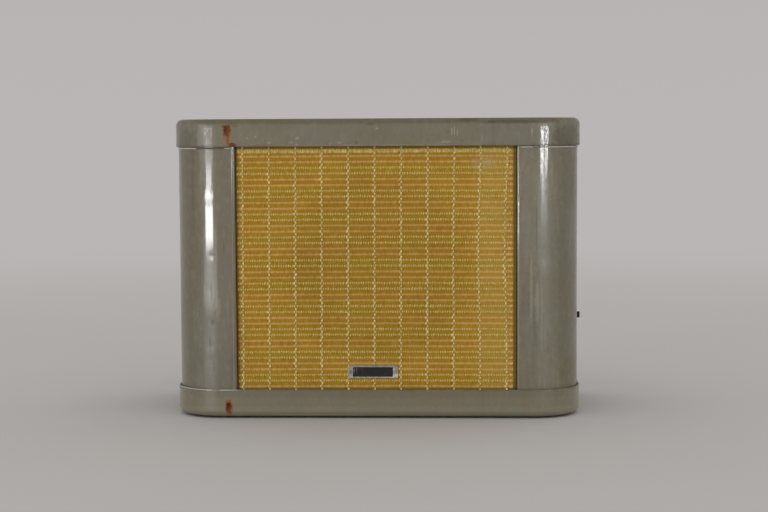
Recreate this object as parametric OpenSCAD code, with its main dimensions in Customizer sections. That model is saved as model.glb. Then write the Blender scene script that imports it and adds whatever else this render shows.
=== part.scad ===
// Loudspeaker receiver for a wired radio network, in a cabinet of grey sheet steel.
// The front faces -Y and +Z is up. The origin lies under the middle of the cabinet,
// in the plane that the feet rest on. All sizes are millimetres.

/* [Cabinet] */
// Width over the trays
case_w = 380; // [360:1:420]
// Height from the resting plane to the top
case_h = 278; // [262:1:310]
// Depth over the trays
case_d = 170; // [164:1:200]
// Plan radius of the two front corners
front_corner_r = 44; // [36:1:52]
// Plan radius of the two rear corners
rear_corner_r = 8; // [7.5:0.5:12]

/* [Trays] */
// Height of a tray's wall
tray_h = 25.6; // [20:0.1:30]
// Radius of a tray's outer edge
tray_edge_r = 6; // [4:0.5:7]
// Sheet thickness of the trays
tray_t = 1.5; // [1:0.1:2]

/* [Side panels] */
// Gap between a tray's wall and the panel inside it
panel_gap = 0.7; // [0.3:0.1:1.5]
// Sheet thickness of the side panels
panel_t = 1.2; // [0.8:0.1:1.6]
// Width of the front face beside the window, from the trays' side
strip_w = 60; // [55:1:70]
// Outer radius of the tight bends
bend_r = 2.3; // [2:0.1:3]
// Depth of the fold beside the window
return_d = 16; // [8:1:24]
// Width of the flange that the rear cover is screwed to
rear_flange_w = 15; // [12:1:20]
// Width of the flanges that are welded to the trays
weld_flange_w = 12; // [8:1:16]
// Length of the flanges that are welded to the trays
weld_flange_l = 96; // [60:1:100]

/* [Baffle] */
// Thickness of the baffle board
board_t = 8; // [6:0.5:12]
// Gap between the board's edge and the trays' inner faces
board_edge_gap = 6; // [3:0.5:8]
// Gap between the wrapped board and the folds beside it
board_side_gap = 2; // [1:0.1:3]
// Thickness of the grille cloth
cloth_t = 0.6; // [0.4:0.1:1]
// How far the cloth lies behind the panels' front face
cloth_recess = 4; // [2:0.5:8]
// Distance of a bracket from the middle
bracket_x = 100; // [80:1:110]
// Length of a bracket's legs
bracket_leg = 22; // [20:1:30]
// Width of a bracket
bracket_w = 20; // [14:1:26]
// Sheet thickness of a bracket
bracket_t = 1.5; // [1:0.1:2.5]
// Height of a bracket screw above the tray
bracket_screw_h = 15; // [13:0.5:18]
// Radius of a bracket screw
bracket_screw_r = 1.6; // [1.2:0.1:2]
// Length of a bracket screw in the board
bracket_screw_l = 6; // [4:0.5:6]

/* [Nameplate] */
// Width of the nameplate
plate_w = 46.5; // [30:0.5:60]
// Height of the nameplate
plate_h = 12; // [9:0.5:16]
// Thickness of the nameplate
plate_t = 1; // [0.8:0.1:1.6]
// Width of the plate's raised rim
plate_rim = 1; // [0.6:0.1:1.6]
// Depth of the plate's sunk field
plate_sink = 0.3; // [0.1:0.1:0.5]
// Corner radius of the nameplate
plate_r = 1.6; // [1.2:0.1:3]
// Sideways place of the nameplate's middle
plate_x = -3.5; // [-30:0.5:30]
// Height of the nameplate's middle above the bottom tray's lip
plate_up = 16; // [12:0.5:30]
// Radius of a nameplate pin
pin_r = 0.8; // [0.5:0.1:1]
// Distance of a pin from the plate's end
pin_inset = 2.6; // [2.2:0.1:5]
// Length of a pin in the board
pin_l = 5; // [3:0.5:5.5]

/* [Rear] */
// Sheet thickness of the rear cover
cover_t = 1.2; // [0.8:0.1:1.6]
// Gap between the rear cover and the trays' lips
cover_gap = 0.8; // [0.4:0.1:2]
// Distance of the cover's ends from the panels' side
cover_inset = 3; // [2.5:0.1:4]
// Depth of the cover's folded edges
cover_fold = 8; // [4:0.5:12]
// Radius of the cover's slotted field
field_r = 78; // [50:1:90]
// Width of a sound slot
slot_w = 6; // [4:0.5:8]
// Distance between sound slots
slot_pitch = 14; // [12:0.5:20]
// Height of the bar across the middle of the slots
slot_bar = 14; // [8:1:24]
// Radius of a cover screw
cover_screw_r = 2; // [1.5:0.1:2.5]
// Distance of a cover screw from the cover's ends
cover_screw_in = 6.5; // [5.5:0.1:8]
// Distance of the outer cover screws from the cover's top and bottom
cover_screw_end = 14; // [10:1:30]
// Distance of the cable inlet from the cabinet's left side
inlet_in = 65; // [50:1:80]
// Height of the cable inlet above the cover's bottom edge
inlet_up = 24; // [18:1:40]
// Radius of the hole through the grommet
inlet_r = 3.5; // [2:0.1:5]
// Radius of the grommet's neck
grommet_neck_r = 6; // [5.5:0.1:8]
// Radius of the grommet's rims
grommet_r = 8.5; // [8.4:0.1:11]
// Thickness of a grommet rim
grommet_rim = 1.5; // [1:0.1:2]

/* [Feet] */
// Thickness of a felt foot
foot_t = 1.5; // [1:0.1:4]
// Radius of a felt foot
foot_r = 9; // [6:0.5:12]
// Distance of a foot's middle from the cabinet's sides
foot_in = 34; // [24:1:50]

/* [Loudspeaker] */
// Inner radius of the basket's flange
flange_in_r = 89; // [84:0.5:92]
// Width of the basket's flange
flange_w = 14; // [13:0.5:16]
// Distance of the bolts from the flange's outer edge
bolt_inset = 5; // [4.5:0.5:6]
// Sheet thickness of the basket
basket_t = 1.2; // [0.8:0.1:1.6]
// How much smaller the board's hole is than the flange's inner radius
board_step = 1; // [0:0.5:2]
// Radius of a speaker bolt
bolt_r = 2; // [1.5:0.1:2.2]
// Thickness of the gasket
gasket_t = 2.5; // [1.5:0.5:4]
// Width of the glued edge of the surround
surround_edge = 5; // [3:0.5:5]
// Thickness of the surround
surround_t = 0.5; // [0.3:0.1:0.8]
// Width of the surround's roll
roll_w = 6.9; // [5:0.1:8]
// Depth of the paper cone
cone_depth = 33; // [28:1:33]
// Thickness of the paper cone
cone_t = 0.7; // [0.4:0.1:1]
// Radius of the dust cap
cap_r = 22; // [16:0.5:26]
// Height of the dust cap
cap_h = 8; // [4:0.5:12]
// Depth of the basket from its flange to the spider ledge
ledge_depth = 37; // [36:1:42]
// Depth of the basket from the spider ledge to the magnet
seat_depth = 12; // [10:1:16]
// Inner radius of the voice-coil former
coil_r = 12.7; // [12:0.1:14]
// Thickness of the former
former_t = 0.2; // [0.1:0.05:0.4]
// Thickness of the winding on the former
coil_t = 0.6; // [0.3:0.1:0.8]
// Length of the winding
coil_l = 8; // [6:0.5:10]
// Gap beside the voice coil on both sides
coil_gap = 0.45; // [0.3:0.05:0.8]
// Outer radius of the pole plates
pole_plate_r = 36; // [32:1:40]
// Thickness of the pole plates
pole_plate_t = 5; // [4:0.5:8]
// Outer radius of the ring magnet
magnet_r = 41; // [37:1:48]
// Inner radius of the ring magnet
magnet_in_r = 21; // [18:1:24]
// Height of the ring magnet
magnet_h = 15; // [12:1:24]

/* [Transformer] */
// Width of the core
core_w = 48; // [46:1:56]
// Height of the core
core_h = 40; // [36:1:52]
// Thickness of the stack of laminations
stack_t = 16; // [12:1:22]
// Width of the middle limb
limb_w = 16; // [12:1:18]
// Width of the outer limbs and yokes
yoke_w = 8; // [6:0.5:9]
// Wall of the bobbin
bobbin_t = 1; // [0.8:0.1:1.4]
// How far the bobbin stands out of the stack
bobbin_out = 7; // [5:0.5:9]
// Sheet thickness of the strap
strap_t = 1.2; // [0.8:0.1:2]
// Length of a strap foot
strap_foot = 12; // [10:1:16]
// Distance of the transformer from the cabinet's left side
core_in = 110; // [100:1:130]
// Distance of the transformer from the cabinet's rear
core_back = 55; // [45:1:60]
// Radius of a floor screw
floor_screw_r = 1.8; // [1.4:0.1:2]

/* [Terminals] */
// Width of the terminal block
block_w = 16; // [14:1:20]
// Length of the terminal block
block_l = 46; // [44:1:52]
// Height of the terminal block
block_h = 14; // [13:0.5:18]
// Distance of the block from the cabinet's left side
block_in = 50; // [44:1:56]
// Distance of the block from the cabinet's rear
block_back = 39; // [37:1:41]
// Distance between the two poles
pole_pitch = 14; // [12:0.5:16]
// Radius of a terminal screw
clamp_screw_r = 1.5; // [1.2:0.1:1.8]

/* [Volume control] */
// Distance of the spindle behind the trays' front
spindle_back = 105; // [95:1:110]
// Height of the spindle above the resting plane
spindle_z = 86; // [70:1:120]
// Radius of the spindle
spindle_r = 3; // [2.5:0.1:3.2]
// How far the spindle stands out of the side panel
spindle_out = 6.8; // [5.5:0.1:12]
// Running clearance of the spindle in its bush
spindle_fit = 0.05; // [0.02:0.01:0.09]
// Radius of the bush's thread
bush_r = 5; // [4.5:0.1:5.5]
// How far the bush stands out of the side panel
bush_out = 3.6; // [3.5:0.1:5]
// Radius of the control's case
case_r = 15; // [14:0.5:18]
// Depth of the control's case
case_depth = 12; // [12:0.5:16]
// Distance across the flats of the nut
nut_flats = 14; // [13:0.5:16]
// Thickness of the nut
nut_t = 2.5; // [2:0.1:2.6]

/* [Wiring] */
// Radius of an insulated lead
lead_r = 0.8; // [0.6:0.1:1]

/* [Hidden] */
$fn = 72;

// Small clearances and allowances
cut = 1;
thread_gap = 0.03;
hole_gap = 0.2;
seat_gap = 0.1;
solder_gap = 0.3;

// Planes of the cabinet
floor_z = foot_t + tray_t;
ceiling_z = case_h - tray_t;
inner_h = ceiling_z - floor_z;
low_lip_z = foot_t + tray_h;
high_lip_z = case_h - tray_h;
mid_z = (low_lip_z + high_lip_z) / 2;
front_y = -case_d / 2;
left_x = -case_w / 2;
rear_y = case_d / 2;
panel_x = case_w / 2 - tray_t - panel_gap;
panel_y = case_d / 2 - tray_t - panel_gap;
panel_corner_r = front_corner_r - tray_t - panel_gap;
window_x = case_w / 2 - strip_w;
weld_bend_r = tray_edge_r - tray_t;
panel_low_z = floor_z + weld_bend_r;
panel_h = inner_h - 2 * weld_bend_r;
flange_y = panel_y - cover_t;

// Baffle board and cloth
board_w = 2 * (window_x - board_side_gap - cloth_t);
board_low_z = floor_z + board_edge_gap;
board_h = inner_h - 2 * board_edge_gap;
board_y = -panel_y + cloth_recess + cloth_t;
board_back_y = board_y + board_t;
plate_z = low_lip_z + plate_up;
bracket_head_r = 3;
bracket_head_h = 2;

// Rear cover
cover_x = panel_x - cover_inset;
cover_low_z = low_lip_z + cover_gap;
cover_high_z = high_lip_z - cover_gap;
cover_screw_x = cover_x - cover_screw_in;
cover_screw_zs = [cover_low_z + cover_screw_end, mid_z, cover_high_z - cover_screw_end];
cover_head_r = 3.6;
cover_head_h = 2;
cover_screw_tip = 4;
slots_out = floor((field_r - slot_w) / slot_pitch);
inlet_x = left_x + inlet_in;
inlet_z = cover_low_z + inlet_up;

// Loudspeaker, measured along its axis from the board's rear face
flange_s = gasket_t + surround_t;
ledge_s = flange_s + ledge_depth;
seat_s = ledge_s + seat_depth;
plate_s = seat_s + basket_t;
magnet_s = plate_s + pole_plate_t;
back_plate_s = magnet_s + magnet_h;
former_r = coil_r + former_t;
neck_s = flange_s + cone_depth;
flange_r = flange_in_r + flange_w;
bolt_circle_r = flange_r - bolt_inset;
board_hole_r = flange_in_r - board_step;
gasket_in = 1;
surround_clear = 1.6;
roll_out_r = flange_in_r - surround_clear;
cone_r = roll_out_r - roll_w;
rim_w = 3;
ledge_out_r = 42;
ledge_in_r = 34;
seat_in_r = 17;
basket_wall_l = 11;
basket_taper = 2;
basket_arms = 4;
window_angle = 64;
window_in = 4;
window_cut = 12;
bolt_head_r = 4;
bolt_head_h = 2.2;
nut_af = 7;
nut_h = 3.2;
bolt_tip = 1.2;
former_over = 1;
spider_t = 0.5;
spider_lap = 1;
spider_waves = 5;
spider_edge = 5;
strip_t = 1.6;
strip_l = 22;
tag_t = 0.5;
tag_w = 3;
tag_l = 16;
tag_in_r = ledge_in_r + 2;
tag_pitch = 9;
tinsel_r = 0.5;

// Transformer
core_x = left_x + core_in;
core_y = rear_y - core_back;
core_gap = 0.2;
window_w = (core_w - limb_w) / 2 - yoke_w;
window_h = core_h - 2 * yoke_w;
winding_short = 0.6;
floor_head_r = 3.2;
floor_head_h = 1.8;
floor_screw_tip = 0.7;
strap_screw_x = core_w / 2 + core_gap + strap_t + strap_foot / 2;

// Terminals
block_x = left_x + block_in;
block_y = rear_y - block_back;
insert_w = 12;
insert_l = 7;
insert_h = 8;
insert_up = 3;
wire_up = 5;
wire_hole_r = 1.2;
clamp_head_r = 2.6;
clamp_head_h = 1.6;
block_screw_pitch = 34;
block_screw_r = 1.6;
block_head_r = 3;
block_head_h = 1.6;

// Volume control, measured along its axis from the side panel's inner face
spindle_y = front_y + spindle_back;
case_t = 0.8;
face_t = 1;
shoulder_r = 6.5;
shoulder_t = 1.5;
washer_r = 8;
washer_t = 0.8;
collar_r = 4.4;
collar_t = 0.9;
wafer_t = 1.2;
wafer_s = -case_depth + case_t + 1;
track_t = 0.6;
track_in_r = 9.4;
track_out_r = 12.4;
track_angle = 300;
wiper_t = 0.6;
wiper_gap = 0.3;
wiper_up = 1.2;
wiper_tip_r = 0.8;
groove_w = 0.5;
groove_depth = 0.3;
driver_slot_w = 1.1;
driver_slot_h = 1.1;
lug_w = 3;
lug_t = 0.6;
lug_angle = 22;
lug_out = 7;
lug_root = 4;

// Lead clips on the floor
clip_places = [[left_x + 200, core_y - 8], [left_x + 280, core_y - 8]];
clip_r = 2.4;
clip_t = 0.8;
clip_w = 7;
clip_foot = 9;

// Places that the leads' routes are measured from
core_place = [core_x, core_y, floor_z];
block_place = [block_x, block_y, floor_z];
volume_place = [panel_x - panel_t, spindle_y, spindle_z];
speaker_place = [0, board_back_y, mid_z];
clip_place = [clip_places[0][0], clip_places[0][1], floor_z];
last_clip_place = [clip_places[1][0], clip_places[1][1], floor_z];
winding_y = stack_t / 2 + bobbin_out - winding_short + solder_gap;
lug_r = case_r + lug_out + solder_gap;

// End of the volume control's tag k, and of the loudspeaker's tag on one side
function lug_end(k) = volume_place
    + [wafer_s - lug_t / 2, lug_r * sin(k * lug_angle), -lug_r * cos(k * lug_angle)];
function tag_end(side) = speaker_place
    + [side * tag_pitch / 2, ledge_s + basket_t + strip_t + tag_t / 2, -tag_in_r - tag_l - solder_gap];

function from(place, points) = [for (p = points) place + p];

// Routes of the leads, chosen by hand
line_routes = [
    concat(
        from(block_place, [[4, -7, 5], [12, -7, 5], [22, -5, 5]]),
        from(core_place, [[-28, 18, 8], [-18, 23, 15], [-9, 22, 22], [-6, winding_y + 4, 25],
            [-6, winding_y, 25]])),
    concat(
        from(block_place, [[4, 7, 5], [12, 7, 5], [22, 8, 5]]),
        from(core_place, [[-26, 27, 8], [-12, 30, 15], [0, 26, 22], [4, winding_y + 5, 25],
            [4, winding_y, 25]]))];
volume_routes = [
    concat(
        from(core_place, [[-4, -winding_y, 25], [-4, -winding_y - 4, 24.5], [4, -26, 14],
            [24, -23, 4], [50, -13, 1.2]]),
        from(clip_place, [[-4, -1, 1.2], [40, -1, 1.2]]),
        from(last_clip_place, [[-4, -1, 1.2], [8, -1, 1.2], [40, -3, 2]]),
        from(lug_end(-1), [[-16, 3, -51], [-4, -3, -30], [0, -3.4, -12], [0, -2, -5], [0, 0, 0]])),
    concat(
        from(core_place, [[4, -winding_y, 25], [4, -winding_y - 4, 24.5], [12, -23, 14],
            [30, -17, 4], [52, -9.5, 1.2]]),
        from(clip_place, [[-4, 1, 1.2], [40, 1, 1.2]]),
        from(last_clip_place, [[-4, 1, 1.2], [8, 1, 1.2], [40, 3, 2]]),
        from(lug_end(1), [[-16, 1, -51], [-3, 4, -30], [0, 3.6, -12], [0, 2, -5], [0, 0, 0]]))];
speaker_routes = [
    concat(
        from(lug_end(0), [[0, 0, 0], [0, 0, -6], [-5, -6, -24], [-26, -18, -42]]),
        from(speaker_place, [[110, 62, -124], [60, 54, -120], [24, 48, -92]]),
        from(tag_end(1), [[2.5, 1, -13.5], [0, 0, -5.5], [0, 0, 0]])),
    concat(
        from(lug_end(-1), [[-lug_t / 2 - solder_gap, 1.3, 3.3], [-6, 1.3, 3.3], [-16, -4, -9],
            [-32, -16, -32]]),
        from(speaker_place, [[106, 56, -117], [56, 47, -111], [16, 43, -86]]),
        from(tag_end(-1), [[2.5, -1, -12.5], [0, 0, -5.5], [0, 0, 0]]))];

function unit(v) = v / norm(v);

// Point of a smooth curve through the points p, on the stretch after point i
function curve_point(p, i, u) =
    let (a = p[max(i - 1, 0)], b = p[i], c = p[i + 1], d = p[min(i + 2, len(p) - 1)])
    b + ((c - a) * u + (2 * a - 5 * b + 4 * c - d) * u * u + (3 * b - a - 3 * c + d) * u * u * u) / 2;

function curve(p, n) = concat(
    [for (i = [0 : len(p) - 2]) for (k = [0 : n - 1]) curve_point(p, i, k / n)],
    [p[len(p) - 1]]);

function heading(q, i) = unit(q[min(i + 1, len(q) - 1)] - q[max(i - 1, 0)]);

// Side vectors that turn as little as possible along the curve q
function side_vectors(q, i, last) = i == len(q) ? [] :
    let (t = heading(q, i), v = unit(last - (last * t) * t))
    concat([v], side_vectors(q, i + 1, v));

// Round lead along a route of points
module lead(route, r, sides = 8, steps = 2) {
    q = curve(route, steps);
    v = side_vectors(q, 0, unit(cross(heading(q, 0), [0.3, 0.5, 0.8])));
    rings = len(q);
    ring_points = [for (i = [0 : rings - 1]) for (k = [0 : sides - 1])
        let (a = 360 * k / sides, w = cross(heading(q, i), v[i]))
        q[i] + r * (cos(a) * v[i] + sin(a) * w)];
    walls = [for (i = [0 : rings - 2]) for (k = [0 : sides - 1])
        let (a = i * sides + k, b = i * sides + (k + 1) % sides)
        each [[a, a + sides, b], [b, a + sides, b + sides]]];
    first = [for (k = [1 : sides - 2]) [0, k, k + 1]];
    last = [for (k = [1 : sides - 2]) let (n = (rings - 1) * sides) [n, n + k + 1, n + k]];
    polyhedron(ring_points, concat(walls, first, last));
}

// Ring with a square section
module ring(outer, inner, h) {
    difference() {
        cylinder(r = outer, h = h);
        translate([0, 0, -cut]) cylinder(r = inner, h = h + 2 * cut);
    }
}

// Quarter of a bent sheet, from +X round to +Y
module bend(r, t, h) {
    rotate_extrude(angle = 90) translate([r - t, 0]) square([t, h]);
}

// Section of a block's side with its top edge rounded over
module side_section(r, h, e) {
    square([r - e, h]);
    square([r, h - e]);
    translate([r - e, h - e]) intersection() {
        circle(e);
        square(e);
    }
}

// Block with two front and two rear corners in plan, rounded along its top edge
module rounded_block(w, d, h, front_r, rear_r, e) {
    for (side = [0, 1]) mirror([side, 0, 0]) {
        translate([w / 2 - front_r, front_r - d / 2, 0]) rotate([0, 0, -90])
            rotate_extrude(angle = 90) side_section(front_r, h, e);
        translate([w / 2 - rear_r, d / 2 - rear_r, 0])
            rotate_extrude(angle = 90) side_section(rear_r, h, e);
    }
    translate([rear_r - w / 2, d / 2 - rear_r, 0]) rotate([90, 0, 90])
        linear_extrude(w - 2 * rear_r) side_section(rear_r, h, e);
    mirror([0, 1, 0]) translate([front_r - w / 2, d / 2 - front_r, 0]) rotate([90, 0, 90])
        linear_extrude(w - 2 * front_r) side_section(front_r, h, e);
    translate([0, d / 2 - rear_r, 0]) rotate([90, 0, 0]) linear_extrude(d - front_r - rear_r) {
        translate([e - w / 2, 0]) square([w - 2 * e, h]);
        translate([-w / 2, 0]) square([w, h - e]);
        for (side = [-1, 1]) translate([side * (w / 2 - e), h - e]) circle(e);
    }
}

// Pressed tray, open below
module tray() {
    difference() {
        rounded_block(case_w, case_d, tray_h, front_corner_r, rear_corner_r, tray_edge_r);
        translate([0, 0, -cut]) rounded_block(case_w - 2 * tray_t, case_d - 2 * tray_t,
            tray_h - tray_t + cut, front_corner_r - tray_t, rear_corner_r - tray_t,
            tray_edge_r - tray_t);
    }
}

module top_tray() {
    color("#6d716b") translate([0, 0, high_lip_z]) tray();
}

module bottom_tray() {
    color("#6d716b") difference() {
        translate([0, 0, low_lip_z]) mirror([0, 0, 1]) tray();
        for (p = floor_screw_places()) translate([p[0], p[1], foot_t - cut])
            cylinder(r = floor_screw_r + thread_gap, h = tray_t + 2 * cut);
        for (p = block_screw_places()) translate([p[0], p[1], foot_t - cut])
            cylinder(r = block_screw_r + thread_gap, h = tray_t + 2 * cut);
    }
}

// Bent side panel of the right side
module side_panel() {
    side_y = panel_corner_r - panel_y;
    side_l = flange_y - bend_r - side_y;
    z = panel_low_z;
    h = panel_h;
    translate([panel_x - panel_t, side_y, z]) cube([panel_t, side_l, h]);
    translate([panel_x - panel_corner_r, side_y, z]) rotate([0, 0, -90])
        bend(panel_corner_r, panel_t, h);
    translate([window_x + bend_r, -panel_y, z])
        cube([panel_x - panel_corner_r - window_x - bend_r, panel_t, h]);
    translate([window_x + bend_r, bend_r - panel_y, z]) rotate([0, 0, 180])
        bend(bend_r, panel_t, h);
    translate([window_x, bend_r - panel_y, z]) cube([panel_t, return_d - bend_r, h]);
    translate([panel_x - bend_r, flange_y - bend_r, z]) bend(bend_r, panel_t, h);
    difference() {
        translate([panel_x - rear_flange_w, flange_y - panel_t, z])
            cube([rear_flange_w - bend_r, panel_t, h]);
        for (z = cover_screw_zs) translate([cover_screw_x, flange_y + cut, z]) rotate([90, 0, 0])
            cylinder(r = cover_screw_r + thread_gap, h = panel_t + 2 * cut);
    }
    weld_y = side_y + (side_l + weld_flange_l) / 2;
    translate([panel_x - weld_bend_r, weld_y, panel_low_z + panel_h]) weld_flange();
    translate([panel_x - weld_bend_r, weld_y, panel_low_z]) mirror([0, 0, 1]) weld_flange();
}

// Flange that turns in from a side panel's upper end and lies against the tray
module weld_flange() {
    rotate([90, 0, 0]) bend(weld_bend_r, panel_t, weld_flange_l);
    translate([-weld_flange_w, -weld_flange_l, weld_bend_r - panel_t])
        cube([weld_flange_w, weld_flange_l, panel_t]);
}

module left_side_panel() {
    color("#70746e") mirror([1, 0, 0]) side_panel();
}

module right_side_panel() {
    color("#70746e") difference() {
        side_panel();
        at_volume() translate([0, 0, -cut]) cylinder(r = bush_r + hole_gap, h = panel_t + 2 * cut);
    }
}

module baffle_board() {
    color("#a5814f") difference() {
        translate([-board_w / 2, board_y, board_low_z]) cube([board_w, board_t, board_h]);
        at_speaker() translate([0, 0, -board_t - cut]) {
            cylinder(r = board_hole_r, h = board_t + 2 * cut);
            at_bolts() cylinder(r = bolt_r + hole_gap, h = board_t + 2 * cut);
        }
        at_speaker() translate([0, 0, -board_t]) at_bolts()
            cylinder(r1 = bolt_head_r + hole_gap, r2 = bolt_r + hole_gap, h = bolt_head_h);
        at_brackets() translate([0, board_back_y + cut, bracket_screw_h]) rotate([90, 0, 0])
            cylinder(r = bracket_screw_r + thread_gap, h = bracket_screw_l + cut);
        at_pins() translate([0, 0, -pin_l]) cylinder(r = pin_r + thread_gap, h = pin_l + cut);
    }
}

module grille_cloth() {
    color("#b99a55") difference() {
        translate([-board_w / 2 - cloth_t, board_y - cloth_t, board_low_z - cloth_t])
            cube([board_w + 2 * cloth_t, board_t + cloth_t, board_h + 2 * cloth_t]);
        translate([-board_w / 2, board_y, board_low_z]) cube([board_w, board_t + cut, board_h]);
        at_pins() translate([0, 0, -cut])
            cylinder(r = pin_r + thread_gap, h = cloth_t + 2 * cut);
    }
}

// Puts its children on the cloth behind each nameplate pin, with +Z out of the front
module at_pins() {
    for (side = [-1, 1])
        translate([plate_x + side * (plate_w / 2 - pin_inset), board_y, plate_z])
            rotate([90, 0, 0]) children();
}

// Flat rectangle with round corners
module rounded_plate(w, h, r, t) {
    linear_extrude(t) {
        square([w - 2 * r, h], center = true);
        square([w, h - 2 * r], center = true);
        for (x = [-1, 1]) for (y = [-1, 1])
            translate([x * (w / 2 - r), y * (h / 2 - r)]) circle(r);
    }
}

module nameplate() {
    color("#9a9a94") difference() {
        translate([plate_x, board_y - cloth_t, plate_z]) rotate([90, 0, 0])
            rounded_plate(plate_w, plate_h, plate_r, plate_t);
        translate([plate_x, board_y - cloth_t - plate_t + plate_sink, plate_z])
            rotate([90, 0, 0]) plate_field();
        at_pins() cylinder(r = pin_r + thread_gap, h = cloth_t + plate_t + cut);
    }
}

// Sunk field of the nameplate, open to the front
module plate_field() {
    translate([plate_rim - plate_w / 2, plate_rim - plate_h / 2, 0])
        cube([plate_w - 2 * plate_rim, plate_h - 2 * plate_rim, plate_sink + cut]);
}

module nameplate_pins() {
    face = cloth_t + plate_t - plate_sink;
    color("#b8b8b0") at_pins() {
        translate([0, 0, -pin_l]) cylinder(r = pin_r, h = pin_l + face);
        translate([0, 0, face]) cylinder(r = 2 * pin_r, h = pin_r / 2);
    }
}

// Puts its children at each bracket's place on the tray; the upper two are turned over
module at_brackets() {
    for (x = [-bracket_x, bracket_x]) {
        translate([x, 0, floor_z]) children();
        translate([x, 0, ceiling_z]) mirror([0, 0, 1]) children();
    }
}

module baffle_brackets() {
    color("#8c8c84") at_brackets() translate([-bracket_w / 2, board_back_y, 0]) difference() {
        union() {
            cube([bracket_w, bracket_t, bracket_leg]);
            cube([bracket_w, bracket_leg, bracket_t]);
        }
        translate([bracket_w / 2, bracket_t + cut, bracket_screw_h]) rotate([90, 0, 0])
            cylinder(r = bracket_screw_r + hole_gap, h = bracket_t + 2 * cut);
    }
}

// Screw with a slotted pan head: +Z is out of the head, the head sits on z = 0
module pan_screw(r, l, head_r, head_h) {
    difference() {
        union() {
            translate([0, 0, -l]) cylinder(r = r, h = l);
            cylinder(r = head_r, h = head_h);
        }
        translate([-head_r - cut, -head_r / 8, head_h / 2])
            cube([2 * head_r + 2 * cut, head_r / 4, head_h]);
    }
}

module bracket_screws() {
    color("#a7a79c") at_brackets()
        translate([0, board_back_y + bracket_t, bracket_screw_h]) rotate([-90, 0, 0])
            pan_screw(bracket_screw_r, bracket_t + bracket_screw_l, bracket_head_r, bracket_head_h);
}

// One sound slot of the rear cover, from z = 0 up to z = h
module sound_slot(h) {
    translate([-slot_w / 2, slot_w / 2]) square([slot_w, h - slot_w]);
    translate([0, slot_w / 2]) circle(slot_w / 2);
    translate([0, h - slot_w / 2]) circle(slot_w / 2);
}

module rear_cover() {
    fold_w = 2 * (panel_x - rear_flange_w - cover_gap);
    color("#6a6e68") difference() {
        union() {
            translate([-cover_x, flange_y, cover_low_z])
                cube([2 * cover_x, cover_t, cover_high_z - cover_low_z]);
            for (z = [cover_low_z, cover_high_z - cover_t])
                translate([-fold_w / 2, flange_y - cover_fold, z])
                    cube([fold_w, cover_fold + cover_t / 2, cover_t]);
        }
        for (side = [-1, 1]) for (z = cover_screw_zs)
            translate([side * cover_screw_x, panel_y + cut, z]) rotate([90, 0, 0])
                cylinder(r = cover_screw_r + hole_gap, h = cover_t + 2 * cut);
        translate([inlet_x, panel_y + cut, inlet_z]) rotate([90, 0, 0])
            cylinder(r = grommet_neck_r + seat_gap, h = cover_t + 2 * cut);
        translate([0, panel_y + cut, mid_z]) rotate([90, 0, 0])
            linear_extrude(cover_t + 2 * cut) sound_slots();
    }
}

// Field of slots that ends on a circle, above and below a bar
module sound_slots() {
    for (i = [-slots_out : slots_out]) {
        x = i * slot_pitch;
        reach = sqrt(field_r * field_r - x * x) - slot_bar / 2;
        translate([x, slot_bar / 2]) sound_slot(reach);
        translate([x, -slot_bar / 2 - reach]) sound_slot(reach);
    }
}

module rear_cover_screws() {
    color("#8f8f86") for (side = [-1, 1]) for (z = cover_screw_zs)
        translate([side * cover_screw_x, panel_y, z]) rotate([-90, 0, 0])
            pan_screw(cover_screw_r, cover_t + panel_t + cover_screw_tip, cover_head_r, cover_head_h);
}

module cable_grommet() {
    color("#26241f") translate([inlet_x, panel_y + grommet_rim, inlet_z]) rotate([90, 0, 0])
        difference() {
            union() {
                cylinder(r = grommet_neck_r, h = cover_t + 2 * grommet_rim);
                cylinder(r = grommet_r, h = grommet_rim);
                translate([0, 0, grommet_rim + cover_t]) cylinder(r = grommet_r, h = grommet_rim);
            }
            translate([0, 0, -cut]) cylinder(r = inlet_r, h = cover_t + 2 * grommet_rim + 2 * cut);
        }
}

module felt_feet() {
    color("#2d2a26") for (x = [-1, 1]) for (y = [-1, 1])
        translate([x * (case_w / 2 - foot_in), y * (case_d / 2 - foot_in), 0])
            cylinder(r = foot_r, h = foot_t);
}

// Puts its children on the speaker's axis, with +Z towards the rear
module at_speaker() {
    translate([0, board_back_y, mid_z]) rotate([-90, 0, 0]) children();
}

// Puts its children on the bolt circle
module at_bolts() {
    for (a = [45 : 90 : 315]) rotate([0, 0, a]) translate([bolt_circle_r, 0, 0]) children();
}

module speaker_gasket() {
    color("#6f5436") at_speaker() difference() {
        ring(flange_r - gasket_in, board_hole_r + gasket_in, gasket_t);
        at_bolts() translate([0, 0, -cut]) cylinder(r = bolt_r + hole_gap, h = gasket_t + 2 * cut);
    }
}

// Section of the basket, from its flange down to the magnet
module basket_section() {
    wall_s = flange_s + basket_wall_l;
    t = basket_t;
    wall_r = flange_in_r - basket_taper;
    seat_r = ledge_in_r - basket_taper;
    polygon([[flange_r, flange_s], [flange_in_r, flange_s], [wall_r, wall_s],
        [ledge_out_r, ledge_s], [ledge_in_r, ledge_s], [seat_r, seat_s],
        [seat_in_r, seat_s], [seat_in_r, seat_s + t], [seat_r + t, seat_s + t],
        [ledge_in_r + t, ledge_s + t], [ledge_out_r + t / 2, ledge_s + t],
        [wall_r + t, wall_s + t / 2], [flange_in_r + t, flange_s + t],
        [flange_r, flange_s + t]]);
}

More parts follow.
